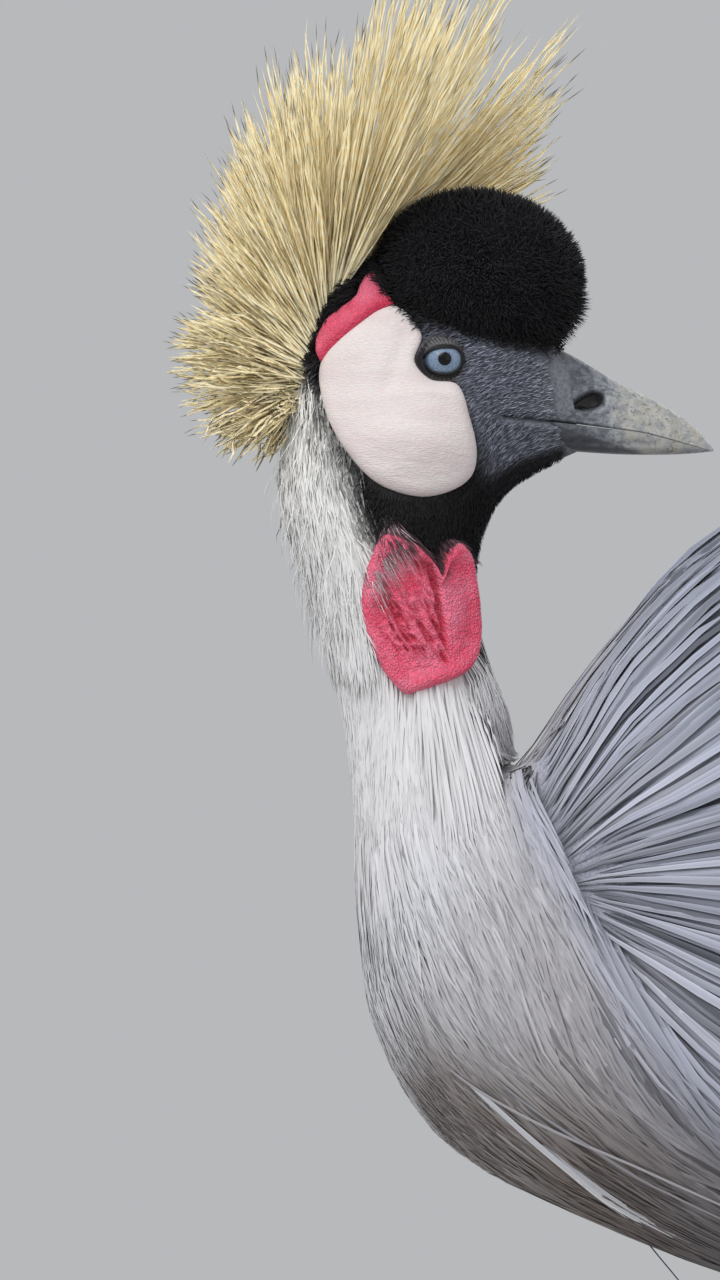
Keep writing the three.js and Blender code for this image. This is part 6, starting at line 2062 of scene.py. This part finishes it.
def toeRings(side, turn, length, thick):
    # Ellipses along a toe that thins toward its tip, swells at the pads, has scutes on top and
    # is cut off at the floor
    heading = math.radians(turn) * side
    out = np.array([-math.cos(heading), math.sin(heading), 0.0])
    root = onSide(leg["toeRoot"], side)
    root[2] = 0
    stops = [(0, 6.5, thick + 1, thick + 1), (0.34, thick - 0.7, thick * 1.02, thick),
             (0.52, thick * 0.9 - 0.7, thick * 0.76, thick * 0.9),
             (0.7, thick * 0.85 - 0.7, thick * 0.9, thick * 0.85),
             (1, thick * 0.62 - 0.5, thick * 0.55, thick * 0.62)]
    t = np.linspace(0, 1, 60)
    line = curveAt([(*(root + out * reach * length)[:2], z, wide, deep) for reach, z, wide, deep in stops], t)
    across = np.array([-out[1], out[0], 0])
    rings = ringsOn(line[:, :3], across, upright, line[:, 3], line[:, 4], feet["toeAround"])
    run = t * length
    saw = ((run / feet["scutePitch"]) % 1) ** 0.5 * feet["scuteDepth"]
    rings[..., 2] += saw[:, None] * np.clip(np.cos(roundTurn(feet["toeAround"])), 0, 1)[None]
    rings[..., 2] = np.maximum(rings[..., 2], 0.0)
    return rings, root + out * length, out


def clawRings(base, out, thick):
    # Round sections that narrow to a point and sink to the floor
    t = np.linspace(0, 1, 14)
    centre = base + out * (t * feet["claw"])[:, None]
    centre[:, 2] = np.interp(t, [0, 0.5, 1], [thick * 0.62 - 0.2, thick * 0.55, 0.9])
    size = thick * 0.5 * (1 - t) ** 0.7 + 0.25
    across = np.array([-out[1], out[0], 0])
    rings = ringsOn(centre, across, upright, size, size, 14)
    rings[..., 2] = np.maximum(rings[..., 2], 0.0)
    return rings


def makeLeg(side, word):
    # Shin and tarsus as round sections along their lines, then four toes with their claws
    shin = limbRings(limbTable(side, "knee", "ankle", "shin"), leg["around"], 90)
    tarsus = limbRings(limbTable(side, "ankle", "toeRoot", "tarsus"), leg["around"], 160)
    for part, rings in (("shin", shin), ("tarsus", tarsus)):
        addPiece(part + word, *closedLoft(scutes(rings, *leg[part + "Plates"])), "leg_skin",
                 (part + "_" + word.lower(),), legSkin)
    toeParts, clawParts = [], []
    for turn, length, thick in feet["toes"]:
        rings, end, out = toeRings(side, turn, length, thick)
        toeParts.append(closedLoft(rings))
        clawParts.append(closedLoft(clawRings(end - out * 2.5, out, thick)))
    addPiece("foot" + word, *joinMeshes(toeParts), "leg_skin", ("foot_" + word.lower(),), legSkin)
    addPiece("claws" + word, *joinMeshes(clawParts), "horn", ("foot_" + word.lower(),), clawHorn)


thighCoat = {"count": 1200, "rows": 5, "long": 0.16, "halfWidth": 2.4, "lift": 2.6}


def thighFeathers(side, word):
    # Feathers down the thigh, laid on its own rings: by share of its length and turn round it
    rng = np.random.default_rng(81)
    n = thighCoat["count"]
    share, turn = evenPlaces(n)
    share, turn = share ** 1.15, 2 * math.pi * turn
    t = np.linspace(0, 1, thighCoat["rows"])
    u = np.clip(share[:, None] * 0.93 + thighCoat["long"] * t[None] * (0.8 + 0.4 * rng.random(n))[:, None], 0, 1.03)
    table = curveAt(limbTable(side, "knee", "ankle", "thigh", -2.5), u)
    run = alongShin(side, 0.6) - alongShin(side, 0.02)
    beyond = np.maximum(u - 1, 0)[..., None] * run  # past the last stop the feathers run straight on
    rise = thighCoat["lift"] * (1 - (1 - t) ** 2)[None] * (0.5 + rng.random(n))[:, None]
    rise = rise - 1.0 * (t == 0)[None]
    axis = unit(run)
    across = unit(np.array([0, 1.0, 0]) - axis * axis[1])
    fore = np.cross(across, axis)
    a = turn[:, None] + 0.06 * rng.normal(size=n)[:, None] * t[None]
    way = across * np.sin(a)[..., None] + fore * np.cos(a)[..., None]
    line = (table[..., :3] + beyond + across * (np.sin(a) * (table[..., 3] + rise))[..., None]
            + fore * (np.cos(a) * (table[..., 4] + rise))[..., None])
    width = thighCoat["halfWidth"] * np.interp(t, *lanceShape)[None] * (0.8 + 0.4 * rng.random(n))[:, None]
    colours = np.tile(plumage["belly"] * 0.85, (n, 1)) * (0.85 + 0.3 * rng.random(n))[:, None]
    roots = np.stack([share, turn / (2 * math.pi)], -1)
    vanePiece("thighFeathers" + word, line, way, width, 0.5, roots, colours, longFeather, "feather_grey",
              ("thigh_" + word.lower(),), colours * 1.15, seed=82)


legSkin = legMaterial()
clawHorn = newMaterial("clawHorn", {"Roughness": 0.35, "Base Color": rgba(32, 31, 32)})[0]
for side, word in ((-1, "Left"), (1, "Right")):
    makeLeg(side, word)
    thighFeathers(side, word)
print("legs ready")
